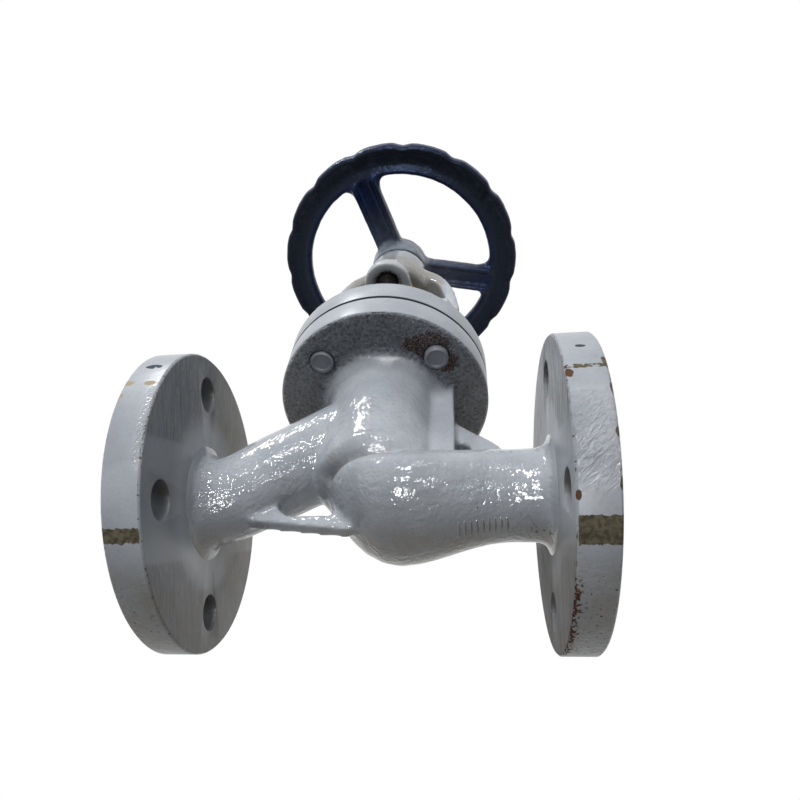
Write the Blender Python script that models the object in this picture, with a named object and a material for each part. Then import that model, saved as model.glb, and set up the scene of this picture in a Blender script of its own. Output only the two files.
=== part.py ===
"""Flanged globe valve, DN25 PN16 pattern, straight body, rising stem and handwheel.

X runs along the pipe, inlet at +X and outlet at -X, and +Z runs up the stem.
The origin is where the pipe axis meets the stem axis. All sizes are in metres.
"""
import math

import bmesh
import bpy
from mathutils import Matrix, Vector

# Clearances between neighbours
FIT = 0.0003
RUN = 0.0004

# End flanges
FACE_TO_FACE = 0.160
FLANGE_RADIUS = 0.0575
FLANGE_THICKNESS = 0.013
RAISED_FACE_RADIUS = 0.0325
RAISED_FACE_HEIGHT = 0.002
FLANGE_BOLT_CIRCLE = 0.085
FLANGE_HOLE_RADIUS = 0.007
FLANGE_EDGE = 0.0007
FLANGE_ROOT = 0.004
BORE_RADIUS = 0.0125

# Inlet pipe and lower bowl
INLET_RADIUS = 0.0173
INLET_NARROW_X = 0.050
BOWL_WIDE_X = 0.010
BOWL_TIP_X = -0.0188
BOWL_HALF_HEIGHT = 0.0172
BOWL_HALF_WIDTH = 0.0250
BOWL_DROP = 0.0062
BOWL_TIP_RISE = 0.0140
BOWL_WALL = 0.005
CHAMBER_TIP_RISE = 0.011

# Outlet pipe
OUTLET_ANGLE = math.radians(36.7)
OUTLET_BEND_X = -0.0579
OUTLET_BEND_RADIUS = 0.015
OUTLET_RADIUS = 0.0165
OUTLET_NECK_RADIUS = 0.0187
OUTLET_RUN = 0.066

# Neck, cover flanges and bridge
NECK_RADIUS = 0.0235
NECK_BASE_Z = 0.000
NECK_BASE_EDGE = 0.010
NECK_FILLET = 0.006
COVER_RADIUS = 0.0457
COVER_EDGE = 0.0010
BODY_FLANGE_BOTTOM_Z = 0.060
JOINT_Z = 0.073
JOINT_GAP = 0.0008
UPPER_CHAMBER_RADIUS = 0.018
BRIDGE_BOTTOM_Z = 0.0075
BRIDGE_TOP_Z = 0.015

# Webs under the outlet pipe and over the inlet pipe
WEB_THICKNESS = 0.005
WEB_HOLE_CORNER = 0.002
RIB_THICKNESS = 0.019
RIB_OUTER_X = 0.031
RIB_FILLET = 0.002

# Seat ring
SEAT_OUTER_RADIUS = 0.016
SEAT_LEDGE_RADIUS = 0.0133
SEAT_LEDGE_Z = 0.0107
SEAT_HEIGHT = 0.006

# Disc and its retaining nut
DISC_RADIUS = 0.0158
DISC_PLATE = 0.008
DISC_NECK_RADIUS = 0.0118
DISC_TOP_Z = 0.040
SOCKET_RADIUS = 0.0092
SOCKET_FLOOR_Z = 0.0270
DISC_NUT_FLANGE = 0.003

# Stem
STEM_RADIUS = 0.008
STEM_WAIST_RADIUS = 0.0060
STEM_BUTTON_HEIGHT = 0.005
STEM_COLLAR_RADIUS = 0.0105
STEM_COLLAR_Z = 0.0555
STEM_COLLAR_HEIGHT = 0.005
STEM_SHOULDER_Z = 0.1903
SQUARE_SIDE = 0.011
STEM_END_RADIUS = 0.005
STEM_END_Z = 0.2195

# Gasket
GASKET_INNER_RADIUS = 0.0190
GASKET_CLEARANCE = 0.0013
GASKET_THICKNESS = 0.0012

# Bonnet, packing box and yoke
BONNET_FLANGE_TOP_Z = 0.086
SPIGOT_DEPTH = 0.0034
BUSHING_RADIUS = 0.011
BUSHING_HEIGHT = 0.006
PACKING_BOX_RADIUS = 0.0175
PACKING_BOX_TOP_Z = 0.110
PACKING_BORE_RADIUS = 0.0132
PACKING_FLOOR_Z = 0.082
PACKING_WASHER_HEIGHT = 0.002
PACKING_RING_HEIGHT = 0.005
PACKING_RINGS = 4
YOKE_HALF_SPAN = 0.0345
YOKE_WINDOW_HALF = 0.027
YOKE_SPRING_Z = 0.126
YOKE_RISE = 0.0579
WINDOW_SPRING_Z = 0.136
WINDOW_RISE = 0.038
YOKE_SQUARENESS = 2.3
YOKE_WIDTH = 0.017
YOKE_FOOT = 0.005
HUB_RADIUS = 0.0167
HUB_BOTTOM_Z = 0.165
HUB_TOP_Z = 0.190
HUB_THROAT_RADIUS = 0.0108
STEM_NUT_RADIUS = 0.012
STEM_NUT_BOTTOM_Z = 0.172
LOCK_SCREW_RADIUS = 0.0025
LOCK_SCREW_Z = 0.181

# Gland, its plate and the eye bolts
GLAND_PLATE_BOTTOM_Z = 0.1227
GLAND_PLATE_HEIGHT = 0.0052
GLAND_PLATE_RADIUS = 0.016
GLAND_LUG_RADIUS = 0.011
GLAND_LUG_Y = 0.027
GLAND_LUG_MOUTH = 0.0073
EYE_Z = 0.097
EYE_RADIUS = 0.0075
EYE_WIDTH = 0.0106
EYE_BOLT_RADIUS = 0.005
EYE_BOLT_END_Z = 0.1365
EYE_PIN_RADIUS = 0.004
CHEEK_THICKNESS = 0.005
CHEEK_RADIUS = 0.007

# Studs and nuts
STUD_RADIUS = 0.005
STUD_EDGE = 0.0115
STUD_TOP_Z = 0.0970
STUD_BOTTOM_Z = 0.0590
NEAR_STUD_PROUD = 0.0015
NUT_HEIGHT = 0.008
NUT_ACROSS_FLATS = 0.017
GLAND_NUT_HEIGHT = 0.0052
GLAND_NUT_ACROSS_FLATS = 0.016

# Handwheel
WHEEL_HUB_RADIUS = 0.0162
WHEEL_HUB_BOTTOM_Z = 0.1906
WHEEL_HUB_TOP_Z = 0.2072
RIM_OUTER_RADIUS = 0.0682
RIM_WIDTH = 0.0155
RIM_BOTTOM_Z = 0.1995
RIM_TOP_Z = 0.2100
RIM_CHANNEL_DEPTH = 0.0022
LOBES = 15
LOBE_NOTCH = 0.0017
SPOKES = 3
FIRST_SPOKE = math.radians(12)
SPOKE_WIDTH = 0.015
SPOKE_RIB = 0.003
SPOKE_BOTTOM_Z = 0.1968
SPOKE_WEB_Z = 0.2002
SPOKE_TOP_Z = 0.2046
SPOKE_FLARE = 0.006
WASHER_RADIUS = 0.010
WASHER_HEIGHT = 0.002

# Facets
FINE = 40
ROUND = 28
INNER = 20
SMALL = 16
RIM_STEPS = 90

# Derived sizes
STUD_CIRCLE = 2 * (COVER_RADIUS - STUD_EDGE)
GASKET_OUTER_RADIUS = STUD_CIRCLE / 2 - STUD_RADIUS - GASKET_CLEARANCE
RIM_INNER_RADIUS = RIM_OUTER_RADIUS - RIM_WIDTH
BODY_FLANGE_TOP_Z = JOINT_Z - JOINT_GAP / 2
BONNET_BOTTOM_Z = JOINT_Z + JOINT_GAP / 2
HALF_LENGTH = FACE_TO_FACE / 2
RUNNING_HOLE = STEM_RADIUS + RUN

ALONG_X = Matrix.Rotation(math.radians(90), 4, 'Y')
ALONG_Y = Matrix.Rotation(math.radians(-90), 4, 'X')
UPRIGHT = Matrix.Rotation(math.radians(90), 4, 'X')
SIDEWAYS = Matrix(((0, 0, 1, 0), (1, 0, 0, 0), (0, 1, 0, 0), (0, 0, 0, 1)))


def to_object(name, bm, frame):
    """Turn a finished bmesh into an object with outward faces."""
    bm.transform(frame)
    bmesh.ops.recalc_face_normals(bm, faces=bm.faces)
    mesh = bpy.data.meshes.new(name)
    bm.to_mesh(mesh)
    bm.free()
    made = bpy.data.objects.new(name, mesh)
    bpy.context.collection.objects.link(made)
    return made


def skin(name, rings, looped=False, frame=Matrix()):
    """Join rings of points, capped at both ends or looped onto themselves."""
    bm = bmesh.new()
    rows = [[bm.verts.new(point) for point in ring] for ring in rings]
    count = len(rows[0])
    pairs = list(zip(rows, rows[1:]))
    if looped:
        pairs.append((rows[-1], rows[0]))
    else:
        bm.faces.new(list(reversed(rows[0])))
        bm.faces.new(rows[-1])
    for low, high in pairs:
        for i in range(count):
            j = (i + 1) % count
            bm.faces.new((low[i], low[j], high[j], high[i]))
    return to_object(name, bm, frame)


def turned(name, profile, steps, looped=False, frame=Matrix()):
    """Turn a profile of (radius, height) points about Z."""
    turns = [math.tau * k / steps for k in range(steps)]
    rings = [[(r * math.cos(a), r * math.sin(a), h) for a in turns] for r, h in profile]
    return skin(name, rings, looped, frame)


def rod(name, radius, low, high, steps, frame=Matrix()):
    """Plain cylinder along the frame's Z."""
    return turned(name, ((radius, low), (radius, high)), steps, False, frame)


def tube(name, inner, outer, low, high, steps, frame=Matrix()):
    """Plain ring along the frame's Z."""
    profile = ((inner, low), (outer, low), (outer, high), (inner, high))
    return turned(name, profile, steps, True, frame)


def prism(name, outline, low, high, frame=Matrix()):
    """Flat outline drawn out along the frame's Z."""
    rings = [[(x, y, level) for x, y in outline] for level in (low, high)]
    return skin(name, rings, False, frame)


def box(name, low, high):
    """Box between two corners."""
    outline = ((low[0], low[1]), (high[0], low[1]), (high[0], high[1]), (low[0], high[1]))
    return prism(name, outline, low[2], high[2])


def combine(target, tool, operation):
    """Apply one Boolean and remove the tool."""
    change = target.modifiers.new(operation, 'BOOLEAN')
    change.operation = operation
    change.solver = 'EXACT'
    change.object = tool
    graph = bpy.context.evaluated_depsgraph_get()
    built = bpy.data.meshes.new_from_object(target.evaluated_get(graph))
    target.modifiers.clear()
    worn = target.data
    target.data = built
    bpy.data.meshes.remove(worn)
    bpy.data.objects.remove(tool, do_unlink=True)


def add(target, *tools):
    """Weld tools onto the target."""
    for tool in tools:
        combine(target, tool, 'UNION')


def cut(target, *tools):
    """Take tools away from the target."""
    for tool in tools:
        combine(target, tool, 'DIFFERENCE')


def arc(centre, radius, start, end, steps):
    """Points on an arc, with angles in degrees."""
    points = []
    for k in range(steps + 1):
        angle = math.radians(start + (end - start) * k / steps)
        points.append((centre[0] + radius * math.cos(angle), centre[1] + radius * math.sin(angle)))
    return points


def rounded(corners, radius):
    """Closed outline with each corner cut back and bent."""
    points = []
    for i, corner in enumerate(corners):
        here = Vector(corner)
        back = (Vector(corners[i - 1]) - here).normalized() * radius
        ahead = (Vector(corners[(i + 1) % len(corners)]) - here).normalized() * radius
        for share in (0.0, 0.5, 1.0):
            bent = here + back * (1 - share) ** 2 + ahead * share ** 2
            points.append((bent.x, bent.y))
    return points


def hexagon(across):
    """Corners of a hexagon with its flats across Y."""
    return arc((0, 0), across / math.sqrt(3), 0, 300, 5)


def smooth(share):
    """Ease from 0 to 1."""
    share = min(max(share, 0.0), 1.0)
    return share * share * (3 - 2 * share)


def finish(made, parent, colour, metallic, roughness):
    """Parent a piece, shade it and give it its own material."""
    mesh = made.data
    mesh.name = made.name
    mesh.polygons.foreach_set('use_smooth', [True] * len(mesh.polygons))
    mesh.set_sharp_from_angle(angle=math.radians(32))
    paint = bpy.data.materials.new(made.name + '_material')
    paint.use_nodes = True
    shader = paint.node_tree.nodes['Principled BSDF']
    shader.inputs['Base Color'].default_value = (*colour, 1.0)
    shader.inputs['Metallic'].default_value = metallic
    shader.inputs['Roughness'].default_value = roughness
    paint.diffuse_color = (*colour, 1.0)
    mesh.materials.clear()
    mesh.materials.append(paint)
    made.parent = parent
    return made


def silver(made, parent):
    return finish(made, parent, (0.36, 0.38, 0.40), 0.2, 0.35)


def navy(made, parent):
    return finish(made, parent, (0.010, 0.013, 0.045), 0.0, 0.35)


def steel(made, parent):
    return finish(made, parent, (0.45, 0.45, 0.46), 1.0, 0.35)


def bronze(made, parent):
    return finish(made, parent, (0.55, 0.36, 0.14), 1.0, 0.35)


def graphite(made, parent):
    return finish(made, parent, (0.03, 0.03, 0.032), 0.0, 0.8)


def empty(name, parent, place=(0, 0, 0)):
    """Named empty that groups pieces."""
    made = bpy.data.objects.new(name, None)
    made.empty_display_size = 0.02
    made.parent = parent
    made.location = place
    bpy.context.collection.objects.link(made)
    return made


def end_flange(name, side):
    """Raised-face end flange with a filleted root."""
    edge = FLANGE_EDGE
    front = HALF_LENGTH - RAISED_FACE_HEIGHT
    back = front - FLANGE_THICKNESS
    root = FLANGE_ROOT
    profile = [(RAISED_FACE_RADIUS, HALF_LENGTH), (RAISED_FACE_RADIUS, front)]
    profile += [(FLANGE_RADIUS - edge, front), (FLANGE_RADIUS, front - edge)]
    profile += [(FLANGE_RADIUS, back + edge), (FLANGE_RADIUS - edge, back)]
    profile += arc((INLET_RADIUS + root, back - root), root, 90, 180, 4)
    frame = Matrix.Scale(side, 4, Vector((1, 0, 0))) @ ALONG_X
    return turned(name, profile, FINE, False, frame)


def flange_bolt_tools():
    """Drills for the bolt holes of both end flanges."""
    tools = []
    reach = RAISED_FACE_HEIGHT + FLANGE_THICKNESS + FLANGE_ROOT
    for side in (-1, 1):
        for quarter in range(4):
            angle = math.radians(45 + 90 * quarter)
            y = FLANGE_BOLT_CIRCLE / 2 * math.cos(angle)
            z = FLANGE_BOLT_CIRCLE / 2 * math.sin(angle)
            middle = side * (HALF_LENGTH - reach / 2)
            frame = Matrix.Translation((middle, y, z)) @ ALONG_X
            tools.append(rod('drill', FLANGE_HOLE_RADIUS, -reach, reach, INNER, frame))
    return tools


def oval(x, centre_z, half_height, half_width):
    """Upright oval ring at one place along X."""
    ring = []
    for k in range(ROUND):
        angle = math.tau * k / ROUND
        ring.append((x, half_width * math.cos(angle), centre_z + half_height * math.sin(angle)))
    return ring


def bowl(name, start_x, pipe, height, width, tip_x, tip_rise):
    """Inlet pipe that widens and drops into a blunt pear-shaped bowl."""
    rings = [oval(start_x, 0, pipe, pipe)]
    for k in range(7):
        blend = smooth(k / 6)
        x = INLET_NARROW_X + (BOWL_WIDE_X - INLET_NARROW_X) * k / 6
        tall = pipe + (height - pipe) * blend
        wide = pipe + (width - pipe) * blend
        rings.append(oval(x, -BOWL_DROP * blend, tall, wide))
    for k in range(1, 7):
        turn = math.radians(82) * k / 6
        x = BOWL_WIDE_X + (tip_x - BOWL_WIDE_X) * math.sin(turn)
        rise = tip_rise * math.sin(turn) ** 2 - BOWL_DROP
        shrink = math.cos(turn)
        rings.append(oval(x, rise, height * shrink, width * shrink))
    return skin(name, rings)


def outlet(name, start_x, flange_end, neck_end):
    """Outlet pipe: level from the flange, then rising into the neck."""
    tangent = OUTLET_BEND_RADIUS * math.tan(OUTLET_ANGLE / 2)
    stations = [(start_x, 0.0, 0.0, flange_end)]
    for k in range(5):
        angle = OUTLET_ANGLE * k / 4
        x = OUTLET_BEND_X - tangent + OUTLET_BEND_RADIUS * math.sin(angle)
        z = OUTLET_BEND_RADIUS * (1 - math.cos(angle))
        stations.append((x, z, angle, flange_end))
    for share in (0.35, 0.7, 1.0):
        x = OUTLET_BEND_X + OUTLET_RUN * share * math.cos(OUTLET_ANGLE)
        z = OUTLET_RUN * share * math.sin(OUTLET_ANGLE)
        radius = flange_end + (neck_end - flange_end) * share
        stations.append((x, z, OUTLET_ANGLE, radius))
    rings = []
    for x, z, angle, radius in stations:
        ring = []
        for k in range(ROUND):
            turn = math.tau * k / ROUND
            lift = radius * math.sin(turn)
            lean = -lift * math.sin(angle)
            ring.append((x + lean, radius * math.cos(turn), z + lift * math.cos(angle)))
        rings.append(ring)
    return skin(name, rings)


def neck():
    """Neck and body flange, turned as one."""
    edge = COVER_EDGE
    bottom = BODY_FLANGE_BOTTOM_Z
    top = BODY_FLANGE_TOP_Z
    round_off = NECK_BASE_EDGE
    profile = arc((NECK_RADIUS - round_off, NECK_BASE_Z + round_off), round_off, -90, 0, 4)
    profile += arc((NECK_RADIUS + NECK_FILLET, bottom - NECK_FILLET), NECK_FILLET, 180, 90, 4)
    profile += [(COVER_RADIUS - edge, bottom), (COVER_RADIUS, bottom + edge)]
    profile += [(COVER_RADIUS, top - edge / 4), (COVER_RADIUS - edge / 4, top)]
    return turned('neck', profile, FINE)


def outlet_web():
    """Web between the outlet pipe and the bowl, with a triangular opening."""
    low = -BOWL_HALF_HEIGHT - 0.001
    toe_x = OUTLET_BEND_X + 0.001
    heel_x = BOWL_TIP_X + 0.012
    outline = [(toe_x, low + 0.0075), (heel_x, low), (heel_x, 0.008)]
    outline += [(BOWL_TIP_X - 0.004, 0.012), (-0.040, 0.004), (toe_x, -0.004)]
    plate = prism('web', outline, -WEB_THICKNESS / 2, WEB_THICKNESS / 2, UPRIGHT)
    corners = [(-0.0370, -0.0050), (-0.031, -0.0105), (-0.0140, -0.0105), (-0.0190, 0.0065)]
    cut(plate, prism('hole', rounded(corners, WEB_HOLE_CORNER), -0.01, 0.01, UPRIGHT))
    return plate


def inlet_web():
    """Thin web outside the rib over the inlet pipe, with an opening by the rib."""
    outer = RIB_OUTER_X
    outline = [(outer - 0.005, 0.006), (0.061, 0.006), (0.061, 0.012), (0.045, 0.0305)]
    outline += [(outer - 0.001, 0.0435), (outer - 0.005, 0.0450)]
    plate = prism('web', outline, -WEB_THICKNESS / 2, WEB_THICKNESS / 2, UPRIGHT)
    corners = [(outer + 0.0005, 0.0150), (outer + 0.0080, 0.0155)]
    corners += [(outer + 0.0058, 0.0275), (outer + 0.0005, 0.0300)]
    cut(plate, prism('hole', rounded(corners, WEB_HOLE_CORNER), -0.01, 0.01, UPRIGHT))
    return plate


def inlet_rib():
    """Upright rib from the inlet pipe to the body flange."""
    top = BODY_FLANGE_BOTTOM_Z
    outer = RIB_OUTER_X
    outline = [(UPPER_CHAMBER_RADIUS + 0.001, 0.007), (outer, 0.007)]
    outline += arc((outer + RIB_FILLET, top - RIB_FILLET), RIB_FILLET, 180, 90, 4)
    outline += [(outer + RIB_FILLET, top + 0.002), (UPPER_CHAMBER_RADIUS + 0.001, top + 0.002)]
    return prism('rib', outline, -RIB_THICKNESS / 2, RIB_THICKNESS / 2, UPRIGHT)


def stud_places():
    """The four stud centres, nearest first."""
    reach = STUD_CIRCLE / 2 * math.sqrt(0.5)
    return [(-reach, -reach), (reach, -reach), (reach, reach), (-reach, reach)]


def stud_drills(low, high):
    """Drills for the four studs."""
    tools = []
    for x, y in stud_places():
        tools.append(rod('drill', STUD_RADIUS + FIT, low, high, SMALL, Matrix.Translation((x, y, 0))))
    return tools


def make_body(parent):
    """Cast body with its two flanges, pipes, bowl, neck, webs and passage."""
    made = neck()
    made.name = 'body'
    start = HALF_LENGTH - 0.008
    add(made, bowl('bowl', start, INLET_RADIUS, BOWL_HALF_HEIGHT, BOWL_HALF_WIDTH,
                   BOWL_TIP_X, BOWL_TIP_RISE))
    add(made, outlet('pipe', -start, OUTLET_RADIUS, OUTLET_NECK_RADIUS))
    add(made, end_flange('flange', 1), end_flange('flange', -1))
    add(made, inlet_rib(), inlet_web(), outlet_web())
    past = HALF_LENGTH + 0.005
    cut(made, bowl('chamber', past, BORE_RADIUS, BRIDGE_BOTTOM_Z + BOWL_DROP,
                   BOWL_HALF_WIDTH - BOWL_WALL, BOWL_TIP_X + BOWL_WALL, CHAMBER_TIP_RISE))
    cut(made, outlet('bore', -past, BORE_RADIUS, BORE_RADIUS))
    cut(made, rod('chamber', UPPER_CHAMBER_RADIUS, BRIDGE_TOP_Z, JOINT_Z + 0.01, ROUND))
    cut(made, rod('pocket', SEAT_OUTER_RADIUS + FIT, SEAT_LEDGE_Z, BRIDGE_TOP_Z + 0.004, ROUND))
    cut(made, rod('port', SEAT_LEDGE_RADIUS, -BOWL_DROP, SEAT_LEDGE_Z + 0.002, INNER))
    recess = JOINT_Z - GASKET_THICKNESS / 2 - 2 * FIT
    cut(made, rod('recess', GASKET_OUTER_RADIUS + FIT, recess, JOINT_Z + 0.01, ROUND))
    cut(made, *flange_bolt_tools())
    cut(made, *stud_drills(BODY_FLANGE_BOTTOM_Z - 0.01, JOINT_Z + 0.01))
    return silver(made, parent)


def make_seat(parent):
    """Seat ring on its ledge in the bridge."""
    low = SEAT_LEDGE_Z + FIT
    high = low + SEAT_HEIGHT
    inner = BORE_RADIUS
    outer = SEAT_OUTER_RADIUS
    profile = [(inner, low), (outer, low), (outer, high - 0.001), (outer - 0.001, high)]
    profile += [(inner + 0.0012, high), (inner, high - 0.0012)]
    return steel(turned('seat_ring', profile, INNER, True), parent)


def make_disc(parent):
    """Disc with a socket for the stem's button."""
    low = SEAT_LEDGE_Z + SEAT_HEIGHT + 2 * FIT
    face = low + DISC_PLATE
    profile = [(DISC_RADIUS - 0.001, low), (DISC_RADIUS, low + 0.001), (DISC_RADIUS, face - 0.001)]
    profile += [(DISC_RADIUS - 0.001, face), (DISC_NECK_RADIUS, face + 0.002)]
    profile += [(DISC_NECK_RADIUS, DISC_TOP_Z), (SOCKET_RADIUS, DISC_TOP_Z)]
    profile += [(SOCKET_RADIUS, SOCKET_FLOOR_Z)]
    return steel(turned('disc', profile, INNER), parent)


def make_disc_nut(parent):
    """Ring nut that keeps the stem's button in the disc."""
    low = SOCKET_FLOOR_Z + STEM_BUTTON_HEIGHT + 2 * FIT
    face = DISC_TOP_Z + FIT
    inner = STEM_WAIST_RADIUS + RUN
    profile = [(inner, low), (SOCKET_RADIUS - FIT, low), (SOCKET_RADIUS - FIT, face)]
    profile += [(DISC_NECK_RADIUS, face), (DISC_NECK_RADIUS, face + DISC_NUT_FLANGE)]
    profile += [(inner, face + DISC_NUT_FLANGE)]
    return steel(turned('disc_nut', profile, INNER, True), parent)


def make_stem(parent):
    """Stem: button, waist, back-seat collar, shank, square and screwed end."""
    low = SOCKET_FLOOR_Z + FIT
    button = low + STEM_BUTTON_HEIGHT
    waist = STEM_WAIST_RADIUS
    collar = STEM_COLLAR_Z
    top = collar + STEM_COLLAR_HEIGHT
    reach = STEM_COLLAR_RADIUS
    profile = [(SOCKET_RADIUS - RUN, low), (SOCKET_RADIUS - RUN, button), (waist, button)]
    profile += [(waist, collar - 0.006), (STEM_RADIUS, collar - 0.004), (STEM_RADIUS, collar)]
    profile += [(reach, collar), (reach, top - 0.0025), (STEM_RADIUS, top)]
    profile += [(STEM_RADIUS, STEM_SHOULDER_Z)]
    made = turned('stem', profile, INNER)
    half = SQUARE_SIDE / 2
    square = WHEEL_HUB_TOP_Z - FIT
    add(made, box('square', (-half, -half, STEM_SHOULDER_Z - 0.002), (half, half, square)))
    end = [(STEM_END_RADIUS, square - 0.002), (STEM_END_RADIUS, STEM_END_Z - 0.0008)]
    end += [(STEM_END_RADIUS - 0.0008, STEM_END_Z)]
    add(made, turned('end', end, SMALL))
    return steel(made, parent)


def make_gasket(parent):
    """Flat gasket in the body's recess."""
    low = JOINT_Z - GASKET_THICKNESS / 2 - FIT
    made = tube('body_gasket', GASKET_INNER_RADIUS, GASKET_OUTER_RADIUS, low,
                low + GASKET_THICKNESS, INNER)
    return graphite(made, parent)


def arch(half_span, spring, rise, foot):
    """Right half of an arch from the foot up, as a superellipse."""
    points = [(half_span, foot)]
    for k in range(13):
        angle = math.radians(90 - 7.5 * (12 - k))
        x = half_span * math.cos(angle) ** (2 / YOKE_SQUARENESS)
        z = spring + rise * math.sin(angle) ** (2 / YOKE_SQUARENESS)
        points.append((x, z))
    return points


def mirrored(half):
    """Close a right-hand outline with its mirror image."""
    return half[:-1] + [(0.0, half[-1][1])] + [(-x, z) for x, z in reversed(half[:-1])]


def yoke():
    """Yoke arch with flared feet and an arched window."""
    floor = BONNET_FLANGE_TOP_Z - 0.002
    top = BONNET_FLANGE_TOP_Z
    spread = YOKE_HALF_SPAN + YOKE_FOOT
    flare = [(spread, floor)]
    flare += arc((spread, top + YOKE_FOOT), YOKE_FOOT, 270, 180, 3)
    outer = flare + arch(YOKE_HALF_SPAN, YOKE_SPRING_Z, YOKE_RISE, YOKE_SPRING_Z - 0.01)[1:]
    made = prism('yoke', mirrored(outer), -YOKE_WIDTH / 2, YOKE_WIDTH / 2, UPRIGHT)
    window = mirrored(arch(YOKE_WINDOW_HALF, WINDOW_SPRING_Z, WINDOW_RISE, top + 0.0001))
    cut(made, prism('window', window, -YOKE_WIDTH, YOKE_WIDTH, UPRIGHT))
    return made


def cheek(side, inner):
    """One cheek of the lug that holds an eye bolt."""
    outline = [(0.012, BONNET_FLANGE_TOP_Z - 0.002)]
    outline += [(GLAND_LUG_Y + CHEEK_RADIUS, BONNET_FLANGE_TOP_Z - 0.002)]
    outline += arc((GLAND_LUG_Y, EYE_Z), CHEEK_RADIUS, 0, 90, 5)
    outline += [(0.012, EYE_Z + CHEEK_RADIUS)]
    frame = Matrix.Scale(side, 4, Vector((0, 1, 0))) @ SIDEWAYS
    return prism('cheek', outline, inner, inner + CHEEK_THICKNESS, frame)


def make_bonnet(parent):
    """Bonnet casting: flange, packing box, eye-bolt lugs, yoke and hub."""
    edge = COVER_EDGE
    low = BONNET_BOTTOM_Z
    top = BONNET_FLANGE_TOP_Z
    box_radius = PACKING_BOX_RADIUS
    spigot = UPPER_CHAMBER_RADIUS - RUN
    profile = [(spigot, low - SPIGOT_DEPTH), (spigot, low), (COVER_RADIUS - edge / 4, low)]
    profile += [(COVER_RADIUS, low + edge / 4), (COVER_RADIUS, top - edge)]
    profile += [(COVER_RADIUS - edge, top), (box_radius + 0.003, top)]
    profile += [(box_radius + 0.0009, top + 0.0009), (box_radius, top + 0.003)]
    profile += [(box_radius, PACKING_BOX_TOP_Z - 0.001), (box_radius - 0.001, PACKING_BOX_TOP_Z)]
    made = turned('bonnet', profile, FINE)
    add(made, yoke())
    hub = [(HUB_RADIUS - 0.001, HUB_BOTTOM_Z), (HUB_RADIUS, HUB_BOTTOM_Z + 0.001)]
    hub += [(HUB_RADIUS, HUB_TOP_Z - 0.001), (HUB_RADIUS - 0.001, HUB_TOP_Z)]
    add(made, turned('hub', hub, ROUND))
    gap = EYE_WIDTH / 2 + RUN
    for side in (-1, 1):
        add(made, cheek(side, gap), cheek(side, -gap - CHEEK_THICKNESS))
        frame = Matrix.Translation((0, side * GLAND_LUG_Y, EYE_Z)) @ ALONG_X
        cut(made, rod('hole', EYE_PIN_RADIUS + FIT, -0.02, 0.02, SMALL, frame))
    bottom = low - SPIGOT_DEPTH
    cut(made, rod('bore', RUNNING_HOLE, bottom - 0.01, PACKING_BOX_TOP_Z + 0.01, INNER))
    cut(made, rod('pocket', BUSHING_RADIUS + FIT, bottom - 0.01,
                  bottom + BUSHING_HEIGHT + FIT, INNER))
    cut(made, rod('box', PACKING_BORE_RADIUS, PACKING_FLOOR_Z, PACKING_BOX_TOP_Z + 0.01, INNER))
    cut(made, rod('throat', HUB_THROAT_RADIUS, HUB_BOTTOM_Z - 0.01, STEM_NUT_BOTTOM_Z, INNER))
    cut(made, rod('seat', STEM_NUT_RADIUS + FIT, STEM_NUT_BOTTOM_Z - FIT, HUB_TOP_Z + 0.01, INNER))
    frame = Matrix.Translation((0, STEM_NUT_RADIUS - 0.001, LOCK_SCREW_Z)) @ ALONG_Y
    cut(made, rod('hole', LOCK_SCREW_RADIUS + FIT, 0, 0.01, SMALL, frame))
    cut(made, *stud_drills(low - 0.01, top + 0.01))
    return silver(made, parent)


def make_packing(parent):
    """Back-seat bushing, packing washer and the packing rings above it."""
    low = BONNET_BOTTOM_Z - SPIGOT_DEPTH
    bushing = tube('backseat_bushing', RUNNING_HOLE, BUSHING_RADIUS, low,
                   low + BUSHING_HEIGHT, INNER)
    bronze(bushing, parent)
    outer = PACKING_BORE_RADIUS - FIT
    level = PACKING_FLOOR_Z + FIT
    washer = tube('packing_washer', RUNNING_HOLE, outer, level,
                  level + PACKING_WASHER_HEIGHT, INNER)
    steel(washer, parent)
    level += PACKING_WASHER_HEIGHT + FIT
    for number in range(1, PACKING_RINGS + 1):
        ring = tube(f'packing_ring_{number}', RUNNING_HOLE, outer, level,
                    level + PACKING_RING_HEIGHT, INNER)
        graphite(ring, parent)
        level += PACKING_RING_HEIGHT + FIT
    return level


def make_gland(parent, low):
    """Gland sleeve and the lugged plate that presses it."""
    outer = PACKING_BORE_RADIUS - RUN
    sleeve = tube('gland', RUNNING_HOLE, outer, low, GLAND_PLATE_BOTTOM_Z - FIT, INNER)
    silver(sleeve, parent)
    bottom = GLAND_PLATE_BOTTOM_Z
    top = bottom + GLAND_PLATE_HEIGHT
    spread = GLAND_LUG_Y
    lug = GLAND_LUG_RADIUS
    lean = math.degrees(math.asin((GLAND_PLATE_RADIUS - lug) / spread))
    outline = arc((0, spread), lug, lean, 180 - lean, 10)
    outline += arc((0, 0), GLAND_PLATE_RADIUS, 180 - lean, 180 + lean, 2)
    outline += arc((0, -spread), lug, 180 + lean, 360 - lean, 10)
    outline += arc((0, 0), GLAND_PLATE_RADIUS, -lean, lean, 2)
    plate = prism('gland_plate', outline, bottom, top)
    cut(plate, rod('hole', RUNNING_HOLE, bottom - 0.01, top + 0.01, INNER))
    hole = EYE_BOLT_RADIUS + RUN
    for side in (-1, 1):
        mouth = [(GLAND_LUG_MOUTH + 0.002, bottom - 0.002), (GLAND_LUG_MOUTH, bottom)]
        mouth += [(hole, bottom + 0.0018), (hole, top + 0.01)]
        cut(plate, turned('hole', mouth, INNER, False, Matrix.Translation((0, side * spread, 0))))
    return silver(plate, parent)


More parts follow.
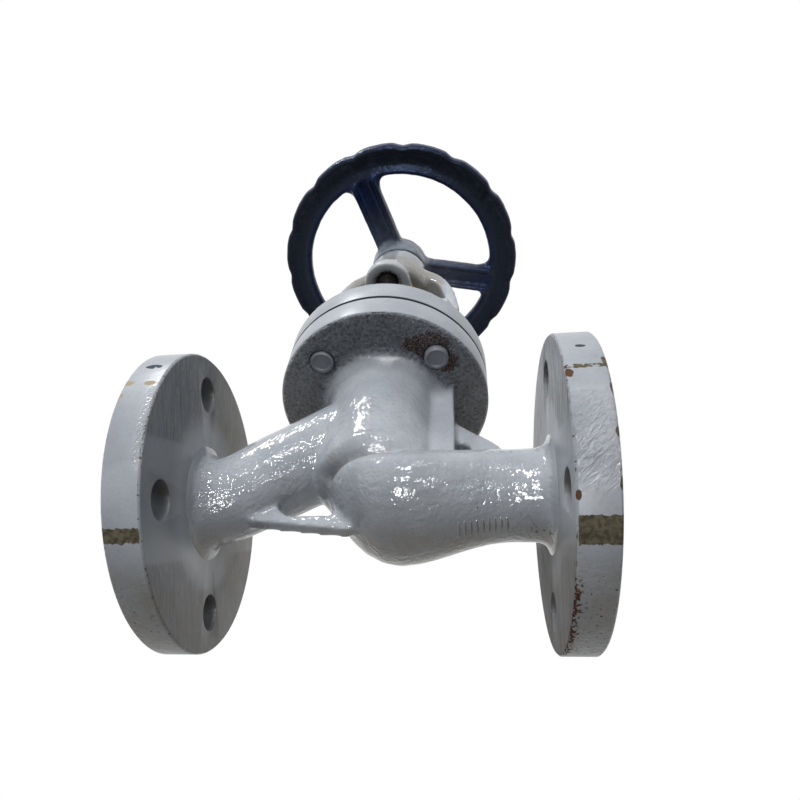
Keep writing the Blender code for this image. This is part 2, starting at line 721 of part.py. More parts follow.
def make_eye_bolts(parent):
    """Eye bolts, their pins and their nuts."""
    low = GLAND_PLATE_BOTTOM_Z + GLAND_PLATE_HEIGHT + FIT
    for number, side in ((1, -1), (2, 1)):
        y = side * GLAND_LUG_Y
        eye = Matrix.Translation((0, y, EYE_Z)) @ ALONG_X
        bolt = rod(f'eye_bolt_{number}', EYE_RADIUS, -EYE_WIDTH / 2, EYE_WIDTH / 2, SMALL, eye)
        radius = EYE_BOLT_RADIUS
        shank = [(radius, EYE_Z), (radius, EYE_BOLT_END_Z - 0.0008)]
        shank += [(radius - 0.0008, EYE_BOLT_END_Z)]
        upright = Matrix.Translation((0, y, 0))
        add(bolt, turned('shank', shank, SMALL, False, upright))
        cut(bolt, rod('hole', EYE_PIN_RADIUS + FIT, -0.02, 0.02, SMALL, eye))
        steel(bolt, parent)
        reach = EYE_WIDTH / 2 + RUN + CHEEK_THICKNESS + 0.0015
        steel(rod(f'eye_pin_{number}', EYE_PIN_RADIUS, -reach, reach, SMALL, eye), parent)
        nut = hex_nut(f'gland_nut_{number}', (0, y, low), GLAND_NUT_ACROSS_FLATS,
                      GLAND_NUT_HEIGHT, EYE_BOLT_RADIUS)
        steel(nut, parent)


def hex_nut(name, place, across, height, thread):
    """Hexagon nut with chamfered corners and a clear bore."""
    frame = Matrix.Translation(place)
    made = prism(name, hexagon(across), 0, height, frame)
    reach = across / 2
    wall = [(reach * 1.02, -0.001), (reach * 1.18, height * 0.14), (reach * 1.18, height * 0.86)]
    wall += [(reach * 1.02, height + 0.001)]
    combine(made, turned('chamfer', wall, INNER, False, frame), 'INTERSECT')
    cut(made, rod('bore', thread + FIT, -0.01, height + 0.01, SMALL, frame))
    return made


def make_studs(parent):
    """Bonnet studs and their nuts."""
    for number, (x, y) in enumerate(stud_places(), 1):
        low = STUD_BOTTOM_Z - (NEAR_STUD_PROUD if number == 2 else 0.0)
        profile = [(STUD_RADIUS - 0.0006, low), (STUD_RADIUS, low + 0.0006)]
        profile += [(STUD_RADIUS, STUD_TOP_Z - 0.0008), (STUD_RADIUS - 0.0008, STUD_TOP_Z)]
        frame = Matrix.Translation((x, y, 0))
        steel(turned(f'bonnet_stud_{number}', profile, SMALL, False, frame), parent)
        place = (x, y, BONNET_FLANGE_TOP_Z + FIT)
        nut = hex_nut(f'bonnet_nut_{number}', place, NUT_ACROSS_FLATS, NUT_HEIGHT, STUD_RADIUS)
        steel(nut, parent)


def make_stem_nut(parent):
    """Bronze stem nut in the hub and the screw that locks it."""
    made = tube('stem_nut', RUNNING_HOLE, STEM_NUT_RADIUS, STEM_NUT_BOTTOM_Z,
                HUB_TOP_Z - FIT, INNER)
    bronze(made, parent)
    frame = Matrix.Translation((0, 0, LOCK_SCREW_Z)) @ ALONG_Y
    screw = rod('stem_nut_screw', LOCK_SCREW_RADIUS, STEM_NUT_RADIUS + FIT,
                HUB_RADIUS - 0.0005, SMALL, frame)
    steel(screw, parent)


def rim_profile():
    """Section of the rim, with a channel in its underside."""
    inner = RIM_INNER_RADIUS
    outer = RIM_OUTER_RADIUS
    low = RIM_BOTTOM_Z
    high = RIM_TOP_Z
    roof = low + RIM_CHANNEL_DEPTH
    points = [(inner + 0.0010, low), (inner + 0.0030, low + 0.0004), (inner + 0.0042, roof)]
    points += [(outer - 0.0046, roof), (outer - 0.0034, low + 0.0004), (outer - 0.0012, low)]
    points += [(outer, low + 0.0014), (outer, high - 0.0040), (outer - 0.0024, high - 0.0010)]
    points += [(outer - 0.0070, high), (inner + 0.0050, high - 0.0006)]
    points += [(inner + 0.0008, high - 0.0030), (inner, high - 0.0055), (inner, low + 0.0012)]
    return points


def notch(angle):
    """Depth of the grip notches at one angle round the rim."""
    pitch = math.tau / LOBES
    away = (angle - FIRST_SPOKE + pitch / 2) % pitch - pitch / 2
    reach = pitch * 0.21
    if abs(away) > reach:
        return 0.0
    return LOBE_NOTCH * (1 + math.cos(math.pi * away / reach)) / 2


def rim(name):
    """Lobed rim."""
    rings = []
    for radius, level in rim_profile():
        share = max(0.0, (radius - RIM_OUTER_RADIUS + 0.006) / 0.006)
        ring = []
        for k in range(RIM_STEPS):
            angle = FIRST_SPOKE + math.tau * k / RIM_STEPS
            reach = radius - notch(angle) * share
            ring.append((reach * math.cos(angle), reach * math.sin(angle), level))
        rings.append(ring)
    return skin(name, rings, True)


def spoke(angle):
    """Channelled spoke with a flared end at the rim."""
    half = SPOKE_WIDTH / 2
    start = WHEEL_HUB_RADIUS * 0.6
    end = RIM_INNER_RADIUS + 0.0018
    bend = RIM_INNER_RADIUS - SPOKE_FLARE
    side = [(start, half), (bend - 0.001, half), (bend + SPOKE_FLARE * 0.5, half + 0.0014)]
    side += [(RIM_INNER_RADIUS - 0.0006, half + SPOKE_FLARE * 0.8), (end, half + SPOKE_FLARE)]
    outline = [(x, -y) for x, y in side] + list(reversed(side))
    frame = Matrix.Rotation(angle, 4, 'Z')
    web = prism('spoke', outline, SPOKE_WEB_Z, SPOKE_TOP_Z, frame)
    for sign in (-1, 1):
        inner = sign * (half - SPOKE_RIB)
        outer = sign * (half - 0.0004)
        far = end - 0.0008
        strip = [(start + 0.0008, inner), (far, inner), (far, outer), (start + 0.0008, outer)]
        add(web, prism('edge', strip, SPOKE_BOTTOM_Z, SPOKE_WEB_Z + 0.001, frame))
    return web


def make_handwheel(parent):
    """Handwheel: hub with a square hole, three spokes and a lobed rim."""
    reach = WHEEL_HUB_RADIUS
    hub = [(reach, WHEEL_HUB_BOTTOM_Z), (reach, WHEEL_HUB_TOP_Z - 0.001)]
    hub += [(reach - 0.001, WHEEL_HUB_TOP_Z)]
    made = turned('handwheel', hub, ROUND)
    for number in range(SPOKES):
        add(made, spoke(FIRST_SPOKE + math.tau * number / SPOKES))
    add(made, rim('rim'))
    half = SQUARE_SIDE / 2 + FIT
    cut(made, box('square', (-half, -half, WHEEL_HUB_BOTTOM_Z - 0.01),
                  (half, half, WHEEL_HUB_TOP_Z + 0.01)))
    return navy(made, parent)


def make_wheel_fastening(parent):
    """Washer and nut over the handwheel."""
    low = WHEEL_HUB_TOP_Z + FIT
    washer = tube('wheel_washer', STEM_END_RADIUS + FIT, WASHER_RADIUS, low,
                  low + WASHER_HEIGHT, INNER)
    steel(washer, parent)
    place = (0, 0, low + WASHER_HEIGHT + FIT)
    steel(hex_nut('wheel_nut', place, NUT_ACROSS_FLATS, NUT_HEIGHT, STEM_END_RADIUS), parent)


def build():
    """Build the whole valve."""
    for item in list(bpy.data.objects):
        bpy.data.objects.remove(item, do_unlink=True)
    valve = empty('globe_valve', None)
    make_body(valve)
    make_seat(valve)
    make_gasket(valve)
    make_bonnet(valve)
    packed = make_packing(valve)
    make_gland(valve, packed)
    make_eye_bolts(valve)
    make_studs(valve)
    make_stem_nut(valve)
    lift = empty('disc_group', valve)
    make_disc(lift)
    make_disc_nut(lift)
    spindle = empty('spindle_group', lift)
    make_stem(spindle)
    make_handwheel(spindle)
    make_wheel_fastening(spindle)


build()
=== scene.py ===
"""Looks of a flanged globe valve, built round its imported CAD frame."""

import math

import bmesh
import bpy
import numpy as np
from mathutils import Matrix, Vector, noise
from mathutils.bvhtree import BVHTree


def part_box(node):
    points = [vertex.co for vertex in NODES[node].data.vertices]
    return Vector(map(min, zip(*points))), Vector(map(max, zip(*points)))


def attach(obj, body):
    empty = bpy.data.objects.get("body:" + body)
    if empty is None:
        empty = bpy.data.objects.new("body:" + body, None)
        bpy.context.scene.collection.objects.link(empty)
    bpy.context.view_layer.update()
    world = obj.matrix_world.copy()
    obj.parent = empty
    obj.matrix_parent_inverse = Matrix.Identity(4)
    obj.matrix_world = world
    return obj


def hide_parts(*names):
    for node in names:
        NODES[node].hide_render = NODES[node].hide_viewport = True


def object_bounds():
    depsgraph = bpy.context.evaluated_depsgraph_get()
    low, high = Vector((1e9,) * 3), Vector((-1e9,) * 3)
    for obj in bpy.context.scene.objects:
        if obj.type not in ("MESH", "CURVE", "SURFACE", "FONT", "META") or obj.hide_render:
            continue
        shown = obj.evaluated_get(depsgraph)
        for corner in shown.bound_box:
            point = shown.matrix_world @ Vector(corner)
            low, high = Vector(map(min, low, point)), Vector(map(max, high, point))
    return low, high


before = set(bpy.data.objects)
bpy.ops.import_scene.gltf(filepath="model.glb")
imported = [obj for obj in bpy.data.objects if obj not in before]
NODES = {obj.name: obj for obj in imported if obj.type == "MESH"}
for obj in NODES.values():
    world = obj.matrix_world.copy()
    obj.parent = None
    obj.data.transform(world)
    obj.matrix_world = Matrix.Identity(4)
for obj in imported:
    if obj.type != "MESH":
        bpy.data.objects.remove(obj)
cad_low, cad_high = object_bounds()

# Camera of the photograph: metres, radians, a lens in millimetres and shifts in picture widths
CAMERA_PLACE = (0.033438, -0.173501, -0.184378)
CAMERA_AZIMUTH = -0.197
CAMERA_ELEVATION = 0.824
CAMERA_ROLL = 0.118
CAMERA_LENS = 30.37
CAMERA_SHIFT = (0.0351, 0.1088)

# Sizes that are shared with the CAD source
FLANGE_INNER_X = 0.065
FLANGE_OUTER_X = 0.078
RAISED_FACE_X = 0.080
RAISED_FACE_RADIUS = 0.0325
BORE_RADIUS = 0.0125
FLANGE_RADIUS = 0.0575
FLANGE_HOLE_RADIUS = 0.007
FLANGE_HOLE_REACH = 0.03005
COVER_RADIUS = 0.0457
COVER_BOTTOM_Z = 0.060
COVER_TOP_Z = 0.0726
LID_BOTTOM_Z = 0.0734
LID_TOP_Z = 0.086
STUD_REACH = 0.02418

# Roots, edges and holes of the turned discs; the holes show as dark rings round the studs
STUD_HOLE_RADIUS = 0.0056
FLANGE_EDGE = 0.0007
ROOT_RADIUS = 0.0205
ROOT_FACE_RADIUS = 0.0214
ROOT_EDGE = 0.0008
SUNK_RADIUS = 0.0225
SUNK_X = 0.0745
BORE_GAP = 0.0001
NECK_RADIUS = 0.0286
NECK_FACE_RADIUS = 0.0302
COVER_EDGE = 0.001
SEAM_EDGE = 0.0005
LID_BORE_RADIUS = 0.0190
LID_LEDGE = 0.0030
BEVEL_WIDTH = 0.00035

# Voxels of the remeshed castings and screws
BODY_VOXEL = 0.00117
BONNET_VOXEL = 0.00092
WHEEL_VOXEL = 0.00085
PLATE_VOXEL = 0.0006
STEM_VOXEL = 0.00042
BOLT_VOXEL = 0.00034

# Threads as radius, pitch and depth, their lowest and highest z, and sizes of studs and nuts
STEM_THREAD = (0.008, 0.003, 0.0014)
STEM_THREAD_SPAN = (0.1310, 0.1885)
SCREW_THREAD = (0.005, 0.0015, 0.0008)
STEM_END_SPAN = (0.2080, 0.2200)
EYE_BOLT_SPAN = (0.1125, 0.1375)
STUD_FOOT = 0.005
NUT_FLATS = 0.017
GLAND_NUT_FLATS = 0.016
NUT_BORE = 0.0053
GLAND_LUG_Y = 0.027

# Row of cast ridges under the inlet pipe
RIDGE_COUNT = 9
RIDGE_FIRST_X = 0.0316
RIDGE_SPACING = 0.0021
RIDGE_TURNS = (-108, -86)
RIDGE_POINTS = 9
RIDGE_SIDES = 8
RIDGE_HALF_WIDTH = 0.00066
RIDGE_HEIGHT = 0.00034
RIDGE_SKIN = {"film": 0.3, "pitted": 0, "brushed": 0, "shade": 0.2, "grime_and_shade": 0.6, "bare": 0, "rust": 0}

# Fold between the neck and the bowl, the lip above it and the shade in it
FOLD_Z = 0.0018
FOLD_SPREAD = 0.0021
FOLD_DEPTH = 0.0019
FOLD_EXTRA_DEPTH = 0.0008
LIP_Z = 0.0058
LIP_RISE = 0.0038
LIP_SPREAD = 0.0024
LIP_HEIGHT = 0.0006
CREASE_Z = 0.0014
CREASE_SPREAD = 0.0028

# Paint sprayed from the hub along the handwheel's spokes, in metres and degrees
HUB_SPRAY = (0.0168, 0.0205)
SPRAYED_SPOKE = 12
SPRAYED_SPOKE_WIDTH = 30

# Colours as linear red, green and blue
SILVER_LIGHT = (0.385, 0.412, 0.448)
SILVER_DARK = (0.295, 0.318, 0.352)
SILVER_FLECK = (0.20, 0.21, 0.225)
SILVER_SHADED = (0.080, 0.090, 0.107)
SILVER_SPRAY = (0.215, 0.240, 0.272)
SCRATCH = (0.36, 0.355, 0.335)
STREAK = (0.080, 0.080, 0.076)
# Painted shade in the pits of the cast paint
PIT_SHADE = (0.040, 0.043, 0.050)
# Painted shade for the hollows and painted highlight for the crests of the pitted relief
HOLLOW_SHADE = (0.030, 0.034, 0.042)
CREST_HIGHLIGHT = (0.250, 0.270, 0.305)
# Brown dirt colour, also used as painted shade in the neck's fold, the bolt holes and the yoke window
GRIME_AND_SHADE = (0.190, 0.166, 0.116)
SPECK = (0.045, 0.038, 0.031)
# Painted shade: near-black band on the flange edges at their joint, where the gap lies in shadow
SEAM_SHADE = (0.020, 0.026, 0.036)
BARE_DARK = (0.052, 0.043, 0.028)
BARE_LIGHT = (0.118, 0.104, 0.070)
BARE_PALE = (0.300, 0.255, 0.180)
BARE_RUDDY = (0.085, 0.044, 0.028)
BARE_INKY = (0.040, 0.050, 0.068)
RUST_LIGHT = (0.105, 0.040, 0.018)
RUST_DARK = (0.026, 0.013, 0.009)
# Dark dust on the handwheel, also used as painted shade at the hub's joint with the yoke hub
WHEEL_GRIME_AND_SHADE = (0.0115, 0.0128, 0.0130)

# Share of the shaded colour that all the silver paint has
PAINT_SHADE = 0.15
# Slant of the brush marks and streaks on the flange faces
BRUSH_SLANT = (math.radians(45), 0, 0)

# Rust patches under the cover flange: x, y and radius
COVER_RUST = ((0.0222, -0.0276, 0.0125), (0.0160, -0.0285, 0.0090), (0.0280, -0.0212, 0.0080))

# Floor: radius, where it fades out, and its colour and glow
FLOOR_RADIUS = 0.9
FLOOR_FADE = (0.20, 0.60)
FLOOR_COLOUR = (0.55, 0.55, 0.55, 1)
FLOOR_GLOW = 0.52
# Strength of the world's light on the far side and on the bright side
SKY_LIGHT = (0.05, 0.75)
# Direction that the brighter side of the studio lies in
LIGHT_FROM = (-0.20, -0.89, 0.40)
# Height of the point that the lamps look at
LAMP_TARGET_Z = 0.06
# Lamps: name, direction, distance, size, power, and whether the gloss shows them
LAMPS = (("key", (-0.12, -0.96, 0.14), 0.9, 0.35, 6.3, False),
         ("graze", (-0.30, -0.92, -0.22), 1.0, 0.25, 1.2, False),
         ("window", (-0.20, -0.80, 0.80), 1.0, 0.13, 1.3, False),
         ("tube", (0.30, -0.95, 0.45), 1.0, 0.10, 0.5, True),
         ("back", (0.5, 0.9, 0.7), 1.1, 0.6, 2.0, False),
         ("below", (0.0, 0.55, -0.85), 1.0, 0.5, 1.2, False))
# Small lamps that only the gloss shows: name, direction, size and power
GLINT_DISTANCE = 0.9
GLINTS = (("glint_high", (-0.37, -0.57, 0.73), 0.06, 2.6),
          ("glint_level", (0.07, -0.99, 0.11), 0.07, 2.4),
          ("glint_low", (0.00, -0.88, -0.46), 0.10, 3.6),
          ("glint_side", (0.40, -0.80, -0.45), 0.05, 0.9),
          ("glint_foot", (0.05, -0.55, -0.83), 0.16, 3.6))

# Bare chips on the rims: how bare, x, turn in degrees, half width in metres, half height in degrees
CHIPS = ((0.70, -0.0765, -178.5, 0.0028, 2.2), (0.66, -0.0690, -178.0, 0.0032, 1.8),
         (0.62, -0.0712, 170.5, 0.0044, 2.6), (0.54, -0.0770, -171.0, 0.0014, 3.2),
         (0.56, 0.0716, -175.8, 0.0110, 1.5), (0.90, 0.0662, -172.8, 0.0018, 2.6),
         (0.92, 0.0778, -178.0, 0.0018, 5.0), (0.85, 0.0715, 172.0, 0.0022, 1.4),
         (0.80, 0.0778, -151.0, 0.0012, 2.4), (0.80, 0.0778, -166.0, 0.0011, 3.0),
         (0.80, 0.0657, -133.0, 0.0012, 2.4), (0.75, 0.0778, -136.0, 0.0011, 3.0))


# Mesh helpers


def new_object(name, verts, faces):
    """Object with a smooth-shaded mesh."""
    mesh = bpy.data.meshes.new(name)
    mesh.from_pydata([tuple(map(float, v)) for v in verts], [], faces)
    mesh.validate()
    obj = bpy.data.objects.new(name, mesh)
    bpy.context.scene.collection.objects.link(obj)
    mesh.shade_smooth()
    return obj


def applied(obj):
    """Replace an object's mesh by the result of its modifiers."""
    bpy.context.view_layer.update()
    graph = bpy.context.evaluated_depsgraph_get()
    mesh = bpy.data.meshes.new_from_object(obj.evaluated_get(graph))
    obj.modifiers.clear()
    obj.data = mesh
    return obj


def remeshed(node, name, voxel):
    """Fine even copy of a CAD node's surface."""
    obj = bpy.data.objects.new(name, NODES[node].data.copy())
    bpy.context.scene.collection.objects.link(obj)
    obj.data.materials.clear()
    modifier = obj.modifiers.new("remesh", "REMESH")
    modifier.mode = "VOXEL"
    modifier.voxel_size = voxel
    applied(obj)
    obj.data.shade_smooth()
    return obj


def points(obj):
    """Vertex places as an array."""
    co = np.empty(len(obj.data.vertices) * 3, np.float32)
    obj.data.vertices.foreach_get("co", co)
    return co.reshape(-1, 3).astype(float)


def set_points(obj, co):
    """Write vertex places back."""
    obj.data.vertices.foreach_set("co", co.astype(np.float32).ravel())
    obj.data.update()


def normals(obj):
    """Vertex normals as an array."""
    n = np.empty(len(obj.data.vertices) * 3, np.float32)
    obj.data.vertices.foreach_get("normal", n)
    return n.reshape(-1, 3).astype(float)


def smoothed(obj, values, rounds):
    """Values at the vertices, averaged with their neighbours again and again."""
    edges = np.empty(len(obj.data.edges) * 2, np.int32)
    obj.data.edges.foreach_get("vertices", edges)
    a, b = edges.reshape(-1, 2).T
    count = len(values)
    degree = np.maximum(np.bincount(a, minlength=count) + np.bincount(b, minlength=count), 1)
    out = values.astype(float).copy()
    for _ in range(rounds):
        for k in range(out.shape[1]):
            column = out[:, k]
            total = np.bincount(a, column[b], count) + np.bincount(b, column[a], count)
            out[:, k] = 0.5 * column + 0.5 * total / degree
    return out


def step(value, low, high):
    """Smooth step from 0 at low to 1 at high."""
    t = np.clip((value - low) / (high - low), 0, 1)
    return t * t * (3 - 2 * t)


def cast(obj, rounds, fill, wear, weight):
    """Fill concave corners and round edges as a casting has them."""
    co = points(obj)
    n = normals(obj)
    shift = ((smoothed(obj, co, rounds) - co) * n).sum(1)
    shift = np.clip(shift, -wear, fill) * weight(co)
    shift = smoothed(obj, shift[:, None], 3)[:, 0]
    co += n * shift[:, None]
    set_points(obj, co)


def relax(obj, rounds):
    """Take the voxel steps out of a surface."""
    set_points(obj, smoothed(obj, points(obj), rounds))


def waves(co, size, seed, octaves=2):
    """Soft noise from -1 to 1 at each point."""
    offset = Vector((seed * 7.3, seed * 3.1, seed * 5.7))
    return np.array([noise.fractal(Vector(p) / size + offset, 1.0, 2.0, octaves) for p in co])


def lump(obj, amount, size, seed, weight=None):
    """Push the surface in and out a little."""
    co = points(obj)
    shift = waves(co, size, seed) * amount
    if weight is not None:
        shift *= weight(co)
    set_points(obj, co + normals(obj) * shift[:, None])


def mask(obj, name, values):
    """Store a value at each vertex for the materials."""
    attribute = obj.data.attributes.new(name, "FLOAT", "POINT")
    attribute.data.foreach_set("value", np.clip(values, 0, 1).astype(np.float32))


def grid(name, rings, closed):
    """Mesh over rings of points: a capped column, or a closed loop of rings."""
    count = len(rings[0])
    verts = [p for ring in rings for p in ring]
    faces = []
    pairs = len(rings) if closed else len(rings) - 1
    for i in range(pairs):
        low = i * count
        high = (i + 1) % len(rings) * count
        for k in range(count):
            after = (k + 1) % count
            faces.append((low + k, low + after, high + after, high + k))
    if not closed:
        faces.append(tuple(range(count))[::-1])
        faces.append(tuple(range(len(verts) - count, len(verts))))
    return new_object(name, verts, faces)


def turns(sides):
    """Angles of the points on a ring."""
    return np.arange(sides) * math.tau / sides


def level_ring(centre, z, radii):
    """Level ring of points with a radius for each angle."""
    turn = turns(len(radii))
    x = centre[0] + radii * np.cos(turn)
    y = centre[1] + radii * np.sin(turn)
    return list(zip(x, y, np.full(len(radii), z)))


def axis_ring(a, b, radius, along, sides, upright):
    """Round ring of points across Z, or across X."""
    turn = turns(sides)
    across = (a + radius * np.cos(turn), b + radius * np.sin(turn))
    level = np.full(sides, along)
    return list(zip(*across, level)) if upright else list(zip(level, *across))


def thread(z, turn, radius, pitch, depth, low, high):
    """Radius of a right-hand thread between two heights, running out at both."""
    phase = (z / pitch - turn / math.tau) % 1.0
    groove = np.clip(1.9 * (1 - np.abs(2 * phase - 1)) - 0.45, 0, 1)
    fade = np.clip((z - low) / pitch, 0, 1) * np.clip((high - z) / pitch, 0, 1)
    return radius - depth * groove * fade


def threaded(obj, centre, cut, span):
    """Cut a thread into the round shank of a remeshed node."""
    radius, pitch, depth = cut
    low, high = span
    co = points(obj)
    gap = co[:, :2] - np.array(centre)
    reach = np.hypot(gap[:, 0], gap[:, 1])
    shank = (np.abs(reach - radius) < 0.0006) & (co[:, 2] > low) & (co[:, 2] < high)
    turn = np.arctan2(gap[:, 1], gap[:, 0])
    wanted = thread(co[:, 2], turn, radius, pitch, depth, low, high)
    co[shank, :2] = np.array(centre) + gap[shank] * (wanted[shank] / reach[shank])[:, None]
    set_points(obj, co)


def disc(name, outline, holes, hole_radius, upright):
    """Turned disc along X or Z with drilled holes and softly bevelled edges."""
    rings = [axis_ring(0, 0, radius, along, 180, upright) for radius, along in outline]
    made = grid(name, rings, True)
    outward(made)
    middle = sum(along for _, along in outline) / len(outline)
    for a, b in holes:
        ends = [axis_ring(a, b, hole_radius, middle + half, 64, upright) for half in (-0.02, 0.02)]
        drill = grid("drill", ends, False)
        outward(drill)
        cut = made.modifiers.new("drill", "BOOLEAN")
        cut.operation = "DIFFERENCE"
        cut.solver = "EXACT"
        cut.object = drill
        applied(made)
        bpy.data.objects.remove(drill)
    bevel = made.modifiers.new("edge", "BEVEL")
    bevel.width = BEVEL_WIDTH
    bevel.segments = 2
    bevel.angle_limit = math.radians(30)
    return applied(made)


def outward(obj):
    """Turn all faces of a closed mesh outward."""
    made = bmesh.new()
    made.from_mesh(obj.data)
    bmesh.ops.recalc_face_normals(made, faces=made.faces)
    made.to_mesh(obj.data)
    made.free()


def finished(obj, body, material, *nodes, slot=None, sharp=None):
    """Give a piece its material, its body and the nodes it stands for."""
    obj.data.materials.clear()
    obj.data.materials.append(material)
    if sharp:
        obj.data.shade_smooth()
        obj.data.set_sharp_from_angle(angle=math.radians(sharp))
    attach(obj, body)
    if nodes:
        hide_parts(*nodes)


# Materials


def new_node(tree, kind, inputs=(), **settings):
    """Node with its input values and settings."""
    made = tree.nodes.new(kind)
    for key, value in inputs:
        made.inputs[key].default_value = value
    for key, value in settings.items():
        setattr(made, key, value)
    return made


class Shader:
    """Builder for one node material in object coordinates."""

    def __init__(self, name):
        self.material = bpy.data.materials.new(name)
        self.material.use_nodes = True
        self.tree = self.material.node_tree
        self.out = self.tree.nodes["Principled BSDF"]
        self.place = self.node("ShaderNodeTexCoord").outputs["Object"]

    def node(self, kind, **settings):
        return new_node(self.tree, kind, **settings)

    def feed(self, socket, value):
        if isinstance(value, bpy.types.NodeSocket):
            self.tree.links.new(value, socket)
        elif isinstance(value, tuple) and len(value) == 3 and socket.type == "RGBA":
            socket.default_value = (*value, 1.0)
        else:
            socket.default_value = value

    def noise(self, scale, detail=2.0, stretch=None, roughness=0.55, bend=0.0, tilt=(0, 0, 0)):
        made = self.node("ShaderNodeTexNoise")
        place = self.place
        if stretch:
            mapping = self.node("ShaderNodeMapping", vector_type="TEXTURE")
            mapping.inputs["Scale"].default_value = [1 / k for k in stretch]
            mapping.inputs["Rotation"].default_value = tilt
            self.feed(mapping.inputs["Vector"], place)
            place = mapping.outputs["Vector"]
        self.feed(made.inputs["Vector"], place)
        made.inputs["Scale"].default_value = scale
        made.inputs["Detail"].default_value = detail
        made.inputs["Roughness"].default_value = roughness
        made.inputs["Distortion"].default_value = bend
        return made.outputs["Fac"]

    def level(self, value, low, high, start=0.0, end=1.0):
        made = self.node("ShaderNodeMapRange", interpolation_type="SMOOTHSTEP")
        for key, part in zip(("Value", "From Min", "From Max", "To Min", "To Max"),
                             (value, low, high, start, end)):
            self.feed(made.inputs[key], part)
        return made.outputs["Result"]

    def calc(self, operation, a, b):
        made = self.node("ShaderNodeMath", operation=operation)
        self.feed(made.inputs[0], a)
        self.feed(made.inputs[1], b)
        return made.outputs["Value"]

    def mixed(self, factor, a, b):
        made = self.node("ShaderNodeMix", data_type="RGBA")
        self.feed(made.inputs[0], factor)
        self.feed(made.inputs[6], a)
        self.feed(made.inputs[7], b)
        return made.outputs[2]

    def mask(self, name):
        return self.node("ShaderNodeAttribute", attribute_name=name).outputs["Fac"]

    def axes(self):
        """The three object coordinates."""
        made = self.node("ShaderNodeSeparateXYZ")
        self.feed(made.inputs[0], self.place)
        return made.outputs[0], made.outputs[1], made.outputs[2]

    def away(self, a, b):
        """Length across two coordinates."""
        total = self.calc("ADD", self.calc("MULTIPLY", a, a), self.calc("MULTIPLY", b, b))
        return self.calc("SQRT", total, 0.0)

    def between(self, value, low, high, soft):
        """1 between two limits with soft ends."""
        rise = self.level(value, low - soft, low + soft)
        return self.calc("MULTIPLY", rise, self.level(value, high - soft, high + soft, 1.0, 0.0))

    def times(self, *parts):
        """Product of several values."""
        total = parts[0]
        for part in parts[1:]:
            total = self.calc("MULTIPLY", total, part)
        return total

    def most(self, *parts):
        """Largest of several values."""
        top = parts[0]
        for part in parts[1:]:
            top = self.calc("MAXIMUM", top, part)
        return top

    def broken(self, amount, scale, detail, low, high):
        """An amount with a ragged edge."""
        ragged = self.calc("MULTIPLY", self.calc("SUBTRACT", self.noise(scale, detail), 0.5), 1.7)
        return self.level(self.calc("ADD", amount, ragged), low, high)

    def bump(self, height, distance, strength=1.0, after=None):
        made = self.node("ShaderNodeBump")
        self.feed(made.inputs["Height"], height)
        self.feed(made.inputs["Strength"], strength)
        made.inputs["Distance"].default_value = distance
        if after:
            self.feed(made.inputs["Normal"], after)
        return made.outputs["Normal"]

    def done(self, **inputs):
        for key, value in inputs.items():
            self.feed(self.out.inputs[key.replace("_", " ")], value)
        return self.material


def rust_colour(s):
    """Rust from orange-brown to almost black."""
    return s.mixed(s.level(s.noise(700, 4), 0.35, 0.60), RUST_LIGHT, RUST_DARK)


def stored(s):
    """The masks that a casting's vertices hold."""
    return {name: s.mask(name) for name in ("film", "pitted", "brushed", "shade", "grime_and_shade", "bare", "rust")}


